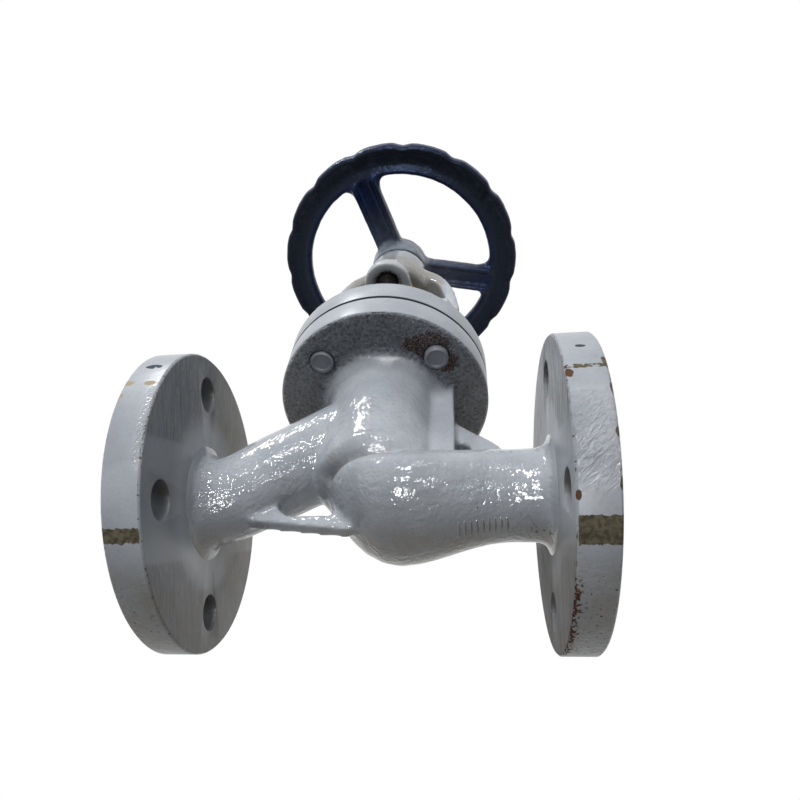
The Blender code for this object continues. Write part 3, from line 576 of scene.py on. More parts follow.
def flange_fields(s):
    """Where the end flanges are wavy, brushed, bare, chipped, rusty and grimy, with painted shade on faces
    and rims and in the bolt holes.
    """
    x, y, z = s.axes()
    reach = s.calc("ABSOLUTE", x, 0.0)
    left = s.calc("LESS_THAN", x, 0.0)
    right = s.calc("SUBTRACT", 1.0, left)
    pipe = s.away(y, z)
    turn = s.calc("MULTIPLY", s.calc("ARCTAN2", z, y), math.degrees(1))
    rim = s.level(pipe, FLANGE_RADIUS - 0.0010, FLANGE_RADIUS - 0.0004)
    face = s.level(reach, FLANGE_INNER_X + 0.0001, FLANGE_INNER_X + 0.0006, 1.0, 0.0)
    strip = s.most(s.times(left, s.between(turn, -126.0, -121.2, 1.2)),
                   s.times(right, s.between(turn, -127.2, -118.8, 1.2)))
    strip = s.times(strip, s.level(reach, FLANGE_INNER_X + 0.0003, FLANGE_INNER_X + 0.0009))
    spots = []
    for part, place, angle, width, height in CHIPS:
        across = s.calc("DIVIDE", s.calc("SUBTRACT", x, place), width)
        round_ = s.calc("DIVIDE", s.calc("SUBTRACT", turn, angle), height)
        spots.append(s.level(s.away(across, round_), 0.5, 1.0, part, 0.0))
    bare = s.times(rim, s.most(strip, *spots))
    low = s.times(rim, s.between(turn, -112, -60, 9))
    flank = s.level(reach, FLANGE_INNER_X + 0.0005, FLANGE_INNER_X + 0.0050, 1.0, 0.0)
    near_edge = s.level(pipe, FLANGE_RADIUS - 0.0020, FLANGE_RADIUS - 0.0002)
    ends = s.most(s.level(reach, FLANGE_INNER_X + 0.0002, FLANGE_INNER_X + 0.0020, 1.0, 0.0),
                  s.level(reach, FLANGE_OUTER_X - 0.0020, FLANGE_OUTER_X - 0.0002))
    edges = s.times(near_edge, ends, 0.50)
    across = s.calc("SUBTRACT", s.calc("ABSOLUTE", y, 0.0), FLANGE_HOLE_REACH)
    along = s.calc("SUBTRACT", s.calc("ABSOLUTE", z, 0.0), FLANGE_HOLE_REACH)
    gap = s.away(across, along)
    inside = s.level(gap, FLANGE_HOLE_RADIUS, FLANGE_HOLE_RADIUS + 0.0005, 1.0, 0.0)
    above = s.calc("SUBTRACT", s.calc("SUBTRACT", z, s.times(s.calc("SIGN", z, 0.0), FLANGE_HOLE_REACH)),
                   s.calc("SUBTRACT", y, s.times(s.calc("SIGN", y, 0.0), FLANGE_HOLE_REACH)))
    # Brown rust and dirt inside the bolt holes, heavier towards the upper wall, where it is also painted
    # shade
    hole_grime_and_shade = s.times(inside, s.level(above, -0.004, 0.005, 0.25, 1.0))
    rust = s.most(edges, s.times(low, 0.36), s.times(low, right, 0.43), s.times(low, right, flank, 0.74),
                  s.times(hole_grime_and_shade, 0.42))
    lip = s.times(left, s.level(reach, 0.0665, 0.0700, 1.0, 0.0), s.between(turn, -176, -146, 6))
    wrinkled = s.times(rim, s.most(s.times(right, s.between(turn, -164, -136, 6)), lip))
    down = s.calc("MULTIPLY", s.calc("SUBTRACT", y, z), math.sqrt(0.5))
    ground = s.level(s.calc("ABSOLUTE", down, 0.0), 0.0190, 0.0220)
    away = s.level(pipe, 0.0270, 0.0370)
    back = s.times(face, left, s.level(s.calc("ADD", y, z), 0.0, 0.036, 0.10, 0.85))
    lower = s.times(face, right, s.level(down, 0.008, 0.018))
    foot = s.times(lower, 0.50)
    heel = s.times(face, left, s.level(down, 0.010, 0.040, 0.0, 0.55))
    grime_and_shade = s.most(s.times(low, 0.62), back, foot, heel, s.times(hole_grime_and_shade, 0.45))
    inner_edge = s.level(reach, 0.0668, 0.0674, 1.0, 0.0)
    ruddy = s.times(right, inner_edge, s.calc("SUBTRACT", 1.0, strip))
    turned = s.times(face, away, ground)
    shade = s.most(s.times(face, left, away, s.level(ground, 0.0, 1.0, 0.42, 0.56)), s.times(rim, 0.22),
                   s.times(lower, 0.50), s.times(inside, s.level(above, -0.004, 0.005, 0.55, 0.95)))
    return {"wrinkled": wrinkled, "pitted": s.times(low, 0.25), "brushed": turned, "shade": shade,
            "streaked": s.times(turned, s.level(right, 0.0, 1.0, 0.5, 1.0)),
            "dull": s.calc("SUBTRACT", 1.0, wrinkled), "grime_and_shade": grime_and_shade, "bare": bare, "rust": rust,
            "grain": 900, "flat": lower, "ruddy": ruddy,
            "pale": s.times(left, s.level(turn, -168, -160, 1.0, 0.0)), "inky": s.level(turn, 100, 120)}


def cover_fields(s):
    """Where the body's cover flange is pitted and rusty underneath, with painted shade underneath and along
    its joint with the bonnet's flange.
    """
    x, y, z = s.axes()
    under = s.level(z, COVER_BOTTOM_Z + 0.0004, COVER_BOTTOM_Z + 0.0010, 1.0, 0.0)
    patches = []
    for px, py, size in COVER_RUST:
        gap = s.away(s.calc("SUBTRACT", x, px), s.calc("SUBTRACT", y, py))
        patches.append(s.level(gap, 0.2 * size, 1.1 * size, 1.25, 0.0))
    rust = s.times(s.most(*patches), under)
    stem = s.away(x, y)
    lip = s.level(stem, COVER_RADIUS - 0.0016, COVER_RADIUS - 0.0004, 0.0, 0.36)
    far = s.level(y, -0.030, 0.010, 0.0, 0.4)
    # Painted shade along the joint with the bonnet's flange
    seam_shade = s.level(z, COVER_TOP_Z - 0.00065, COVER_TOP_Z - 0.00035)
    return {"pitted": under, "dull": s.calc("SUBTRACT", 1.0, under), "seam_shade": seam_shade,
            "shade": s.level(under, 0.0, 1.0, PAINT_SHADE, 0.44), "grime_and_shade": s.times(under, far),
            "rust": s.most(rust, s.times(lip, under)), "grain": 800, "peppered": 0.85}


def lid_fields(s):
    """Where the bonnet's flange is wavy and grimy, with painted shade along its joint with the body's
    flange.
    """
    z = s.axes()[2]
    above = s.level(z, LID_TOP_Z - 0.0010, LID_TOP_Z - 0.0003)
    # Painted shade along the joint with the body's flange
    seam_shade = s.level(z, LID_BOTTOM_Z + 0.00035, LID_BOTTOM_Z + 0.00065, 1.0, 0.0)
    return {"pitted": s.times(above, 0.25), "shade": PAINT_SHADE, "dull": 1.0, "seam_shade": seam_shade,
            "grime_and_shade": s.times(above, 0.25)}


# What a casting's fields are where nothing else is said
ABSENT = {"film": 0.10, "grain": 640}
for label in ("brushed", "bare", "rust", "streaked", "pale", "ruddy", "inky", "peppered", "seam_shade", "dull",
              "wrinkled", "flat"):
    ABSENT[label] = 0.0


def cast_paint(name, read):
    """Silver-grey enamel brushed thickly over a casting, with bare strips, rust and dirt, painted shade in
    folds, holes, pits and joints, and painted highlights on the crests of its relief.
    """
    s = Shader(name)
    field = {**ABSENT, **read(s)}
    colour = s.mixed(s.level(s.noise(42, 4), 0.3, 0.7), SILVER_DARK, SILVER_LIGHT)
    colour = s.mixed(s.level(s.noise(900, 2), 0.45, 0.75, 0, 0.18), colour, SILVER_FLECK)
    colour = s.mixed(field["shade"], colour, SILVER_SHADED)
    streaks = s.noise(1.0, 4, stretch=(900, 900, 60), tilt=BRUSH_SLANT)
    flecks = s.noise(1.0, 3, stretch=(1300, 1300, 300), tilt=BRUSH_SLANT)
    scratch = s.times(s.level(flecks, 0.54, 0.64), field["brushed"])
    colour = s.mixed(s.times(scratch, 0.45), colour, SCRATCH)
    lines = s.noise(1.0, 3, stretch=(1500, 1500, 110), tilt=BRUSH_SLANT)
    streaked = s.times(s.level(lines, 0.48, 0.58), field["streaked"], 0.7)
    colour = s.mixed(streaked, colour, STREAK)
    pits = s.level(s.noise(1050, 3), 0.50, 0.62)
    pitted = s.times(pits, field["pitted"])
    # Painted shade in the pits
    colour = s.mixed(s.times(pitted, 0.30), colour, PIT_SHADE)
    relief = s.noise(620, 3)
    # Painted shade in the relief's hollows and a painted highlight on its crests
    hollow_shade = s.times(s.level(relief, 0.38, 0.52, 0.36, 0.0), field["pitted"])
    colour = s.mixed(hollow_shade, colour, HOLLOW_SHADE)
    crest_highlight = s.times(s.level(relief, 0.56, 0.68, 0.0, 0.38), field["pitted"])
    colour = s.mixed(crest_highlight, colour, CREST_HIGHLIGHT)
    # Brown dirt colour, which is painted shade where the mask marks the neck's fold, the bolt holes and the
    # yoke window
    grime_and_shade = s.times(field["grime_and_shade"], s.level(s.noise(95, 6), 0.25, 0.75, 0.35, 1.0))
    colour = s.mixed(grime_and_shade, colour, GRIME_AND_SHADE)
    specks = s.level(s.calc("ADD", s.noise(980, 2), s.times(field["grime_and_shade"], 0.06)), 0.745, 0.775)
    colour = s.mixed(specks, colour, SPECK)
    bare = s.broken(field["bare"], 560, 5, 0.42, 0.52)
    under = s.mixed(s.level(s.noise(620, 5), 0.35, 0.65), BARE_DARK, BARE_LIGHT)
    under = s.mixed(field["pale"], under, BARE_PALE)
    under = s.mixed(field["ruddy"], under, BARE_RUDDY)
    under = s.mixed(field["inky"], under, BARE_INKY)
    colour = s.mixed(bare, colour, under)
    rust = s.broken(field["rust"], field["grain"], 4, 0.62, 0.74)
    pepper = s.level(s.noise(1500, 2), 0.42, 0.50, 0.0, 1.0)
    rust = s.times(rust, s.calc("MAXIMUM", pepper, s.calc("SUBTRACT", 1.0, field["peppered"])))
    colour = s.mixed(rust, colour, rust_colour(s))
    # Painted shade along the flanges' joint
    colour = s.mixed(field["seam_shade"], colour, SEAM_SHADE)
    worn = s.most(bare, rust, field["seam_shade"])
    rough = s.level(s.noise(160, 3), 0.3, 0.7, 0.045, 0.10)
    rough = s.calc("ADD", rough, s.times(worn, 0.5))
    rough = s.calc("ADD", rough, s.times(s.most(field["brushed"], field["dull"]), 0.28))
    lumpy = s.times(field["film"], s.level(s.noise(60, 2), 0.38, 0.62, 0.50, 1.0))
    normal = s.bump(s.noise(500, 2), 0.00047, lumpy)
    normal = s.bump(s.noise(190, 2), 0.00060, s.times(field["film"], 0.5), normal)
    tilt = (math.radians(45), math.radians(60), 0)
    crumple = s.noise(1.0, 3, stretch=(900, 900, 200), tilt=tilt, bend=0.5)
    normal = s.bump(crumple, 0.00110, field["wrinkled"], normal)
    rugged = s.times(field["pitted"], s.level(s.noise(90, 3), 0.35, 0.65, 0.60, 1.0))
    normal = s.bump(relief, 0.00600, rugged, normal)
    normal = s.bump(pits, 0.00022, s.times(rugged, -0.8), normal)
    normal = s.bump(streaks, 0.00018, s.times(field["brushed"], 0.8), normal)
    normal = s.bump(s.noise(1500, 3), 0.00016, worn, normal)
    matt = s.most(field["brushed"], worn, s.times(field["pitted"], 0.85))
    gloss = s.level(s.most(matt, s.times(field["dull"], 0.6)), 0.0, 1.0, 0.42, 0.12)
    gloss = s.times(gloss, s.calc("SUBTRACT", 1.0, s.times(field["flat"], 0.97)))
    return s.done(Base_Color=colour, Roughness=rough, Metallic=0.0, Specular_IOR_Level=gloss, Normal=normal)


def plain_paint(name, light, dark, roughness, film, gloss, tint=(1, 1, 1)):
    """Enamel on a small part or a wheel, with worn and dusty places and painted shade at the handwheel hub's
    joint.
    """
    s = Shader(name)
    colour = s.mixed(s.level(s.noise(70, 4), 0.3, 0.7), dark, light)
    dust = s.times(s.level(s.noise(240, 5), 0.52, 0.72), 0.3)
    colour = s.mixed(dust, colour, tuple(0.8 * c + 0.012 for c in light))
    cloud = s.level(s.noise(150, 5), 0.30, 0.70, 0.60, 1.0)
    spray = s.times(s.mask("spray"), cloud)
    colour = s.mixed(spray, colour, SILVER_SPRAY)
    # Dust, and painted shade at the handwheel hub's joint
    colour = s.mixed(s.mask("grime_and_shade"), colour, WHEEL_GRIME_AND_SHADE)
    rust = s.broken(s.mask("rust"), 640, 5, 0.62, 0.74)
    colour = s.mixed(rust, colour, rust_colour(s))
    rough = s.level(s.noise(180, 3), 0.3, 0.7, roughness * 0.8, roughness * 1.3)
    rough = s.calc("ADD", rough, s.times(rust, 0.5))
    normal = s.bump(s.noise(420, 2, bend=0.5), film)
    normal = s.bump(s.noise(1200, 2), film * 0.25, 0.7, normal)
    return s.done(Base_Color=colour, Roughness=rough, Metallic=0.0, Specular_IOR_Level=gloss,
                  Specular_Tint=tint, Normal=normal)


def metal(name, light, dark, roughness, rusting, edge=1.0):
    """Turned or forged metal with oil film and spots of rust, and an edge shine of 0 to 1."""
    s = Shader(name)
    colour = s.mixed(s.level(s.noise(130, 4), 0.3, 0.7), dark, light)
    rust = s.level(s.noise(420, 6), 0.72 - rusting * 0.25, 0.80 - rusting * 0.25)
    colour = s.mixed(rust, colour, rust_colour(s))
    rough = s.level(s.noise(350, 3), 0.3, 0.7, roughness * 0.75, roughness * 1.35)
    rough = s.calc("ADD", rough, s.calc("MULTIPLY", rust, 0.35))
    shine = s.level(rust, 0.0, 1.0, 0.85, 0.1)
    turned = s.noise(1.0, 2, stretch=(60, 60, 2600))
    normal = s.bump(turned, 0.00003, 0.8)
    normal = s.bump(s.noise(900, 3), 0.00008, rust, normal)
    return s.done(Base_Color=colour, Roughness=rough, Metallic=shine, Specular_IOR_Level=0.5 * edge,
                  Specular_Tint=(edge, edge, edge), Normal=normal)


SILVER = cast_paint("silver_paint", stored)
FLANGE_SILVER = cast_paint("silver_paint_flanges", flange_fields)
COVER_SILVER = cast_paint("silver_paint_cover", cover_fields)
LID_SILVER = cast_paint("silver_paint_lid", lid_fields)
FLAT_SILVER = plain_paint("silver_paint_fittings", (0.40, 0.42, 0.44), (0.31, 0.33, 0.35), 0.34, 0.00010,
                          0.25)
# A darker copy of the fittings' silver paint: painted shade on the stud ends under the cover flange
SHADED_STUD_PAINT = plain_paint("silver_paint_studs_shaded", (0.235, 0.252, 0.280), (0.170, 0.183, 0.205), 0.34, 0.00012,
                         0.30)
NAVY = plain_paint("navy_paint", (0.0075, 0.0150, 0.0560), (0.0035, 0.0065, 0.0220), 0.26, 0.00030, 0.20,
                   (0.40, 0.55, 1.0))
STEEL = metal("steel", (0.46, 0.45, 0.43), (0.33, 0.32, 0.31), 0.34, 0.25)
# Blackened steel, made darker still as painted shade for the bolt end inside the gland lug
DARK_STEEL_AND_SHADE = metal("dark_steel_and_shade", (0.015, 0.014, 0.014), (0.007, 0.0065, 0.0065), 0.50, 0.15, 0.12)
BRONZE = metal("bronze", (0.48, 0.33, 0.15), (0.35, 0.22, 0.09), 0.36, 0.0)
GRAPHITE = metal("graphite", (0.060, 0.060, 0.065), (0.030, 0.030, 0.033), 0.55, 0.0)


# Castings


def casting(node, name, voxel, rounds, fill, wear, weight):
    """Remeshed CAD node with a casting's fillets and worn edges."""
    obj = remeshed(node, name, voxel)
    relax(obj, 2)
    cast(obj, rounds, fill, wear, weight)
    return obj


def whole(co):
    """The same weight all over a casting."""
    return np.ones(len(co))


def near(co, place, reach):
    """1 at a place, falling to 0 at the reach."""
    return 1 - step(np.linalg.norm(co - np.array(place), axis=1), 0.25 * reach, reach)


def band(value, low, high, soft):
    """1 between two limits with soft ends."""
    return step(value, low - soft, low + soft) * (1 - step(value, high - soft, high + soft))


def body_hidden(co):
    """Where the turned discs lie over the body's casting."""
    x, y, z = co.T
    reach, pipe, stem = np.abs(x), np.hypot(y, z), np.hypot(x, y)
    flange = step(reach, FLANGE_INNER_X - 0.0015, FLANGE_INNER_X - 0.0002) * step(pipe, 0.0255, 0.0335)
    end = step(reach, 0.0728, 0.0740)
    cover = step(z, COVER_BOTTOM_Z - 0.0012, COVER_BOTTOM_Z) * step(stem, 0.0285, 0.0350)
    return np.maximum.reduce([flange, end, cover * (reach < 0.055)])


def body_weight(co):
    """How far the body's casting is filled and rounded: most at the pipe roots."""
    x, y, z = co.T
    roots = step(np.abs(x), 0.044, 0.056)
    rib = step(x, 0.017, 0.020) * band(z, 0.012, 0.060, 0.003) * (1 - step(x, 0.036, 0.042))
    web = (1 - step(np.abs(y), 0.0030, 0.0050)) * band(x, -0.050, -0.012, 0.003)
    web *= 1 - step(z, 0.004, 0.009)
    part = 0.30 + 0.70 * roots
    return part * (1 - 0.75 * rib) * (1 - np.maximum(body_hidden(co), 0.85 * web))


def body_masks(obj):
    """Store where the body is wavy, shaded, rusty and grimy, with painted shade in the fold under the lip.
    """
    co = points(obj)
    x, y, z = co.T
    pipe, stem = np.hypot(y, z), np.hypot(x, y)
    root = step(np.abs(x), 0.0625, 0.0645) * step(pipe, 0.0190, 0.0220)
    under = step(z, 0.0550, 0.0596) * step(stem, 0.0245, 0.0290)
    mask(obj, "film", 1 - 0.9 * np.maximum(root, under))
    mask(obj, "pitted", under)
    mask(obj, "brushed", np.zeros(len(co)))
    around = band(np.degrees(np.arctan2(-np.abs(y), x)), -158, -66, 12)
    crease = np.exp(-(((z - CREASE_Z) / CREASE_SPREAD) ** 2)) * around * (1 - step(stem, 0.0262, 0.0310))
    mask(obj, "shade", np.maximum.reduce([0.44 * under, 0.60 * crease, np.full(len(co), PAINT_SHADE)]))
    mask(obj, "bare", np.zeros(len(co)))
    mask(obj, "rust", 0.52 * near(co, (0.061, 0.002, -0.0200), 0.012))
    # Darker and browner towards the back and bottom of the casting, and painted shade in the fold under the
    # lip
    mask(obj, "grime_and_shade", np.maximum(0.85 * step(y - z, 0.010, 0.024), 0.35 * crease))


def creased(obj):
    """Draw in the fold between the neck and the bowl, and swell the lip above it."""
    co = points(obj)
    x, y, z = co.T
    stem = np.hypot(x, y)
    turn = np.degrees(np.arctan2(-np.abs(y), x))
    lit = band(turn, -152, -60, 9) * (1 - step(stem, 0.0262, 0.0300))
    deep = FOLD_DEPTH + FOLD_EXTRA_DEPTH * step(-turn, 80, 135)
    lip = LIP_Z + LIP_RISE * np.exp(-(((turn + 90) / 32) ** 2))
    sink = deep * np.exp(-(((z - FOLD_Z) / FOLD_SPREAD) ** 2))
    sink -= LIP_HEIGHT * np.exp(-(((z - lip) / LIP_SPREAD) ** 2))
    co[:, :2] *= (1 - lit * sink / np.maximum(stem, 0.01))[:, None]
    set_points(obj, co)


def rooted(obj):
    """Sink the casting's flange faces, so that the pipes' fillets end on a clean circle."""
    co = points(obj)
    reach, pipe = np.abs(co[:, 0]), np.hypot(co[:, 1], co[:, 2])
    front = (reach > 0.0630) & (reach < 0.0670) & (pipe < 0.0345)
    co[:, 0] += np.sign(co[:, 0]) * 0.0009 * step(pipe, 0.0214, 0.0234) * front
    set_points(obj, co)


def shrunk(obj, hidden):
    """Sink a casting a little where a turned disc lies over it."""
    co = points(obj)
    set_points(obj, co - normals(obj) * (0.0006 * hidden(co))[:, None])


body = casting("body", "body_casting", BODY_VOXEL, 24, 0.0050, 0.0006, body_weight)
creased(body)
lump(body, 0.00022, 0.0085, 1, body_weight)
shrunk(body, body_hidden)
rooted(body)
body_masks(body)
finished(body, "valve_body", SILVER, "body", slot="silver_paint")


def ridges(obj, name):
    """Row of small cast ridges under the inlet pipe, laid on the casting's surface."""
    tree = BVHTree.FromPolygons([v.co for v in obj.data.vertices],
                                [p.vertices[:] for p in obj.data.polygons])
    verts, faces = [], []
    arc = np.radians(np.linspace(*RIDGE_TURNS, RIDGE_POINTS))
    for number in range(RIDGE_COUNT):
        x = RIDGE_FIRST_X + RIDGE_SPACING * number
        first = len(verts)
        for k, turn in enumerate(arc):
            out = Vector((0, math.cos(turn), math.sin(turn)))
            hit = tree.ray_cast(Vector((x, 0, 0)) + out * 0.045, -out)[0]
            full = math.sin(math.pi * (k + 0.6) / (len(arc) + 0.2)) ** 0.8
            for side in range(RIDGE_SIDES):
                angle = math.tau * side / RIDGE_SIDES
                beside = Vector((RIDGE_HALF_WIDTH * full * math.cos(angle), 0, 0))
                verts.append(hit + (beside + out * (RIDGE_HEIGHT * full * math.sin(angle))))
        for k in range(len(arc) - 1):
            low = first + RIDGE_SIDES * k
            high = low + RIDGE_SIDES
            for side in range(RIDGE_SIDES):
                after = (side + 1) % RIDGE_SIDES
                faces.append((low + side, low + after, high + after, high + side))
        last = first + RIDGE_SIDES * (len(arc) - 1)
        faces.append(tuple(first + side for side in reversed(range(RIDGE_SIDES))))
        faces.append(tuple(last + side for side in range(RIDGE_SIDES)))
    made = new_object(name, verts, faces)
    outward(made)
    for label, value in RIDGE_SKIN.items():
        mask(made, label, np.full(len(verts), value))
    return made


finished(ridges(body, "cast_ridges"), "valve_body", SILVER, slot="silver_paint")


def square(reach):
    """Centres of four holes."""
    return [(a, b) for a in (-reach, reach) for b in (-reach, reach)]


def end_flange(label, side):
    """Turned disc of an end flange with its raised face."""
    outline = [(ROOT_RADIUS, FLANGE_INNER_X + ROOT_EDGE), (ROOT_FACE_RADIUS, FLANGE_INNER_X)]
    outline += [(FLANGE_RADIUS - FLANGE_EDGE, FLANGE_INNER_X), (FLANGE_RADIUS, FLANGE_INNER_X + FLANGE_EDGE)]
    outline += [(FLANGE_RADIUS, FLANGE_OUTER_X - FLANGE_EDGE), (FLANGE_RADIUS - FLANGE_EDGE, FLANGE_OUTER_X)]
    outline += [(RAISED_FACE_RADIUS, FLANGE_OUTER_X), (RAISED_FACE_RADIUS, RAISED_FACE_X)]
    outline += [(BORE_RADIUS - BORE_GAP, RAISED_FACE_X), (BORE_RADIUS - BORE_GAP, SUNK_X)]
    outline += [(SUNK_RADIUS, SUNK_X)]
    outline = [(radius, side * along) for radius, along in outline]
    made = disc(f"{label}_flange_disc", outline, square(FLANGE_HOLE_REACH), FLANGE_HOLE_RADIUS, False)
    finished(made, "valve_body", FLANGE_SILVER, slot="silver_paint", sharp=32)


def stud_flange(name, outline, material):
    """Turned disc with four holes for the studs."""
    made = disc(name, outline, square(STUD_REACH), STUD_HOLE_RADIUS, True)
    finished(made, "valve_body", material, slot="silver_paint", sharp=32)


end_flange("outlet", -1)
end_flange("inlet", 1)
stud_flange("cover_flange_disc", [
    (NECK_RADIUS, COVER_BOTTOM_Z + ROOT_EDGE), (NECK_FACE_RADIUS, COVER_BOTTOM_Z),
    (COVER_RADIUS - COVER_EDGE, COVER_BOTTOM_Z), (COVER_RADIUS, COVER_BOTTOM_Z + COVER_EDGE),
    (COVER_RADIUS, COVER_TOP_Z - SEAM_EDGE), (COVER_RADIUS - SEAM_EDGE, COVER_TOP_Z),
    (NECK_RADIUS, COVER_TOP_Z)], COVER_SILVER)
stud_flange("bonnet_flange_disc", [
    (NECK_RADIUS, LID_BOTTOM_Z), (COVER_RADIUS - SEAM_EDGE, LID_BOTTOM_Z),
    (COVER_RADIUS, LID_BOTTOM_Z + SEAM_EDGE), (COVER_RADIUS, LID_TOP_Z - COVER_EDGE),
    (COVER_RADIUS - COVER_EDGE, LID_TOP_Z), (LID_BORE_RADIUS, LID_TOP_Z),
    (LID_BORE_RADIUS, LID_TOP_Z - LID_LEDGE), (NECK_RADIUS, LID_TOP_Z - LID_LEDGE)], LID_SILVER)


def bonnet_hidden(co):
    """Where the turned disc lies over the bonnet's flange."""
    stem = np.hypot(co[:, 0], co[:, 1])
    below = 1 - step(co[:, 2], LID_TOP_Z - 0.0002, LID_TOP_Z + 0.0012)
    return below * step(stem, LID_BORE_RADIUS, LID_BORE_RADIUS + 0.0015)


def bonnet_weight(co):
    """The bonnet as cast, above its machined flange."""
    return step(co[:, 2], LID_TOP_Z - 0.0002, LID_TOP_Z + 0.0015)


def bonnet_masks(obj):
    """Store the bonnet's masks."""
    co = points(obj)
    z = co[:, 2]
    stem = np.hypot(co[:, 0], co[:, 1])
    mask(obj, "film", np.ones(len(co)))
    for name in ("pitted", "brushed", "bare"):
        mask(obj, name, np.zeros(len(co)))
    mask(obj, "shade", 0.30 * step(z, 0.155, 0.168))
    mask(obj, "rust", 0.25 * (1 - step(stem, 0.0085, 0.012)) * step(z, 0.10, 0.104))
    # Painted shade inside the yoke window, under the arch and round the stem
    inside = step(z, 0.146, 0.160) * (1 - step(z, 0.178, 0.182)) * (1 - step(stem, 0.024, 0.030))
    mask(obj, "grime_and_shade", 0.80 * inside)


def wheel_masks(obj):
    """Store where the handwheel is sprayed over, dusty and rusty, with painted shade at the hub's joint with
    the yoke hub.
    """
    co = points(obj)
    reach = np.hypot(co[:, 0], co[:, 1])
    turn = np.degrees(np.arctan2(co[:, 1], co[:, 0]))
    sprayed = np.abs(turn - SPRAYED_SPOKE) < SPRAYED_SPOKE_WIDTH
    end = np.where(sprayed, 0.064, 0.046)
    tail = np.where(sprayed, 0.42, 0.34) * (1 - step(reach, 0.0170, end))
    mask(obj, "spray", np.maximum(1 - step(reach, *HUB_SPRAY), tail))
    # Painted shade along the hub's joint with the yoke hub
    seam_shade = (1 - step(reach, 0.0185, 0.0200)) * (1 - step(co[:, 2], 0.1910, 0.1920))
    dust = 0.9 * step(reach, 0.0520, 0.0580) * step(-normals(obj)[:, 2], 0.3, 0.8)
    mask(obj, "grime_and_shade", np.maximum(seam_shade, dust))
    mask(obj, "rust", np.full(len(co), 0.02))


def plate_masks(obj):
    """Store the rust round the gland plate's holes."""
    co = points(obj)
    lug = np.hypot(co[:, 0], np.abs(co[:, 1]) - GLAND_LUG_Y)
    mask(obj, "rust", 0.62 * (1 - step(lug, 0.0062, 0.0088)))
    mask(obj, "spray", np.zeros(len(co)))


bonnet = casting("bonnet", "bonnet_casting", BONNET_VOXEL, 24, 0.0030, 0.0008, bonnet_weight)
lump(bonnet, 0.00018, 0.0080, 2, bonnet_weight)
shrunk(bonnet, bonnet_hidden)
bonnet_masks(bonnet)
finished(bonnet, "valve_body", SILVER, "bonnet", slot="silver_paint")

wheel = casting("handwheel", "handwheel_casting", WHEEL_VOXEL, 14, 0.0016, 0.0006, whole)
lump(wheel, 0.00016, 0.0060, 3)
wheel_masks(wheel)
finished(wheel, "spindle", NAVY, "handwheel", slot="navy_paint")

plate = casting("gland_plate", "gland_plate_casting", PLATE_VOXEL, 12, 0.0010, 0.0006, whole)
plate_masks(plate)
finished(plate, "valve_body", FLAT_SILVER, "gland_plate", slot="silver_paint")


# Screwed parts


def measure(node):
    """Centre, lowest and highest z of a node."""
    low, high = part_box(node)
    return ((low.x + high.x) / 2, (low.y + high.y) / 2), low.z, high.z


def stud(node, name):
    """Threaded stud with a plain length at its foot and a shallow recess in its foot's end."""
    centre, low, high = measure(node)
    radius, pitch, depth = SCREW_THREAD
    sides = 48
    turn = turns(sides)
    heights = np.append(np.arange(low + 0.0004, high, pitch / 7), high)
    radii = thread(heights[:, None], turn[None, :], radius, pitch, depth, low + STUD_FOOT, high + pitch)
    radii = np.minimum(radii, (radius - 0.0009 + high - heights)[:, None])
    foot = [(low + 0.00060, 0.66), (low + 0.00010, 0.74), (low, 0.84), (low + 0.00020, 0.92)]
    heights = np.concatenate([[z for z, _ in foot], heights])
    radii = np.concatenate([[np.full(sides, share * radius) for _, share in foot], radii])
    made = grid(name, [level_ring(centre, z, row) for z, row in zip(heights, radii)], False)
    finished(made, "valve_body", SHADED_STUD_PAINT, node, slot="silver_paint", sharp=30)


def nut(node, name, body_name, flats, material, slot):
    """Hexagon nut with chamfered corners, turned as its CAD node is."""
    centre, low, high = measure(node)
    co = np.array([v.co for v in NODES[node].data.vertices])
    spread = np.hypot(co[:, 0] - centre[0], co[:, 1] - centre[1])
    corner = co[int(spread.argmax())]
    start = math.atan2(corner[1] - centre[1], corner[0] - centre[0])
    sides = 96
    turn = turns(sides)
    facet = (turn - start + math.pi / 6) % (math.pi / 3) - math.pi / 6
    hexagon = flats / 2 / np.cos(math.pi / 6 - np.abs(facet))
    rise = np.array([0.0, 0.0002, 0.0004, 0.0006, 0.0008, 0.0010])
    heights = np.concatenate([low + rise, (high - rise)[::-1]])
    depth = np.minimum(heights - low, high - heights)
    outer = np.minimum(hexagon[None, :], (0.475 * flats + depth * math.sqrt(3))[:, None])
    rings = list(zip(heights, outer))
    for z, wider in ((high, 0.0006), (high - 0.0006, 0), (low + 0.0006, 0), (low, 0.0006)):
        rings.append((z, np.full(sides, NUT_BORE + wider)))
    made = grid(name, [level_ring(centre, z, row) for z, row in rings], True)
    finished(made, body_name, material, node, slot=slot, sharp=28)


for number in range(1, 5):
    stud(f"bonnet_stud_{number}", f"bonnet_stud_thread_{number}")
    nut(f"bonnet_nut_{number}", f"bonnet_nut_hex_{number}", "valve_body", NUT_FLATS, FLAT_SILVER,
        "silver_paint")
for number in range(1, 3):
    nut(f"gland_nut_{number}", f"gland_nut_hex_{number}", "valve_body", GLAND_NUT_FLATS, STEEL, "steel")
nut("wheel_nut", "wheel_nut_hex", "spindle", NUT_FLATS, STEEL, "steel")

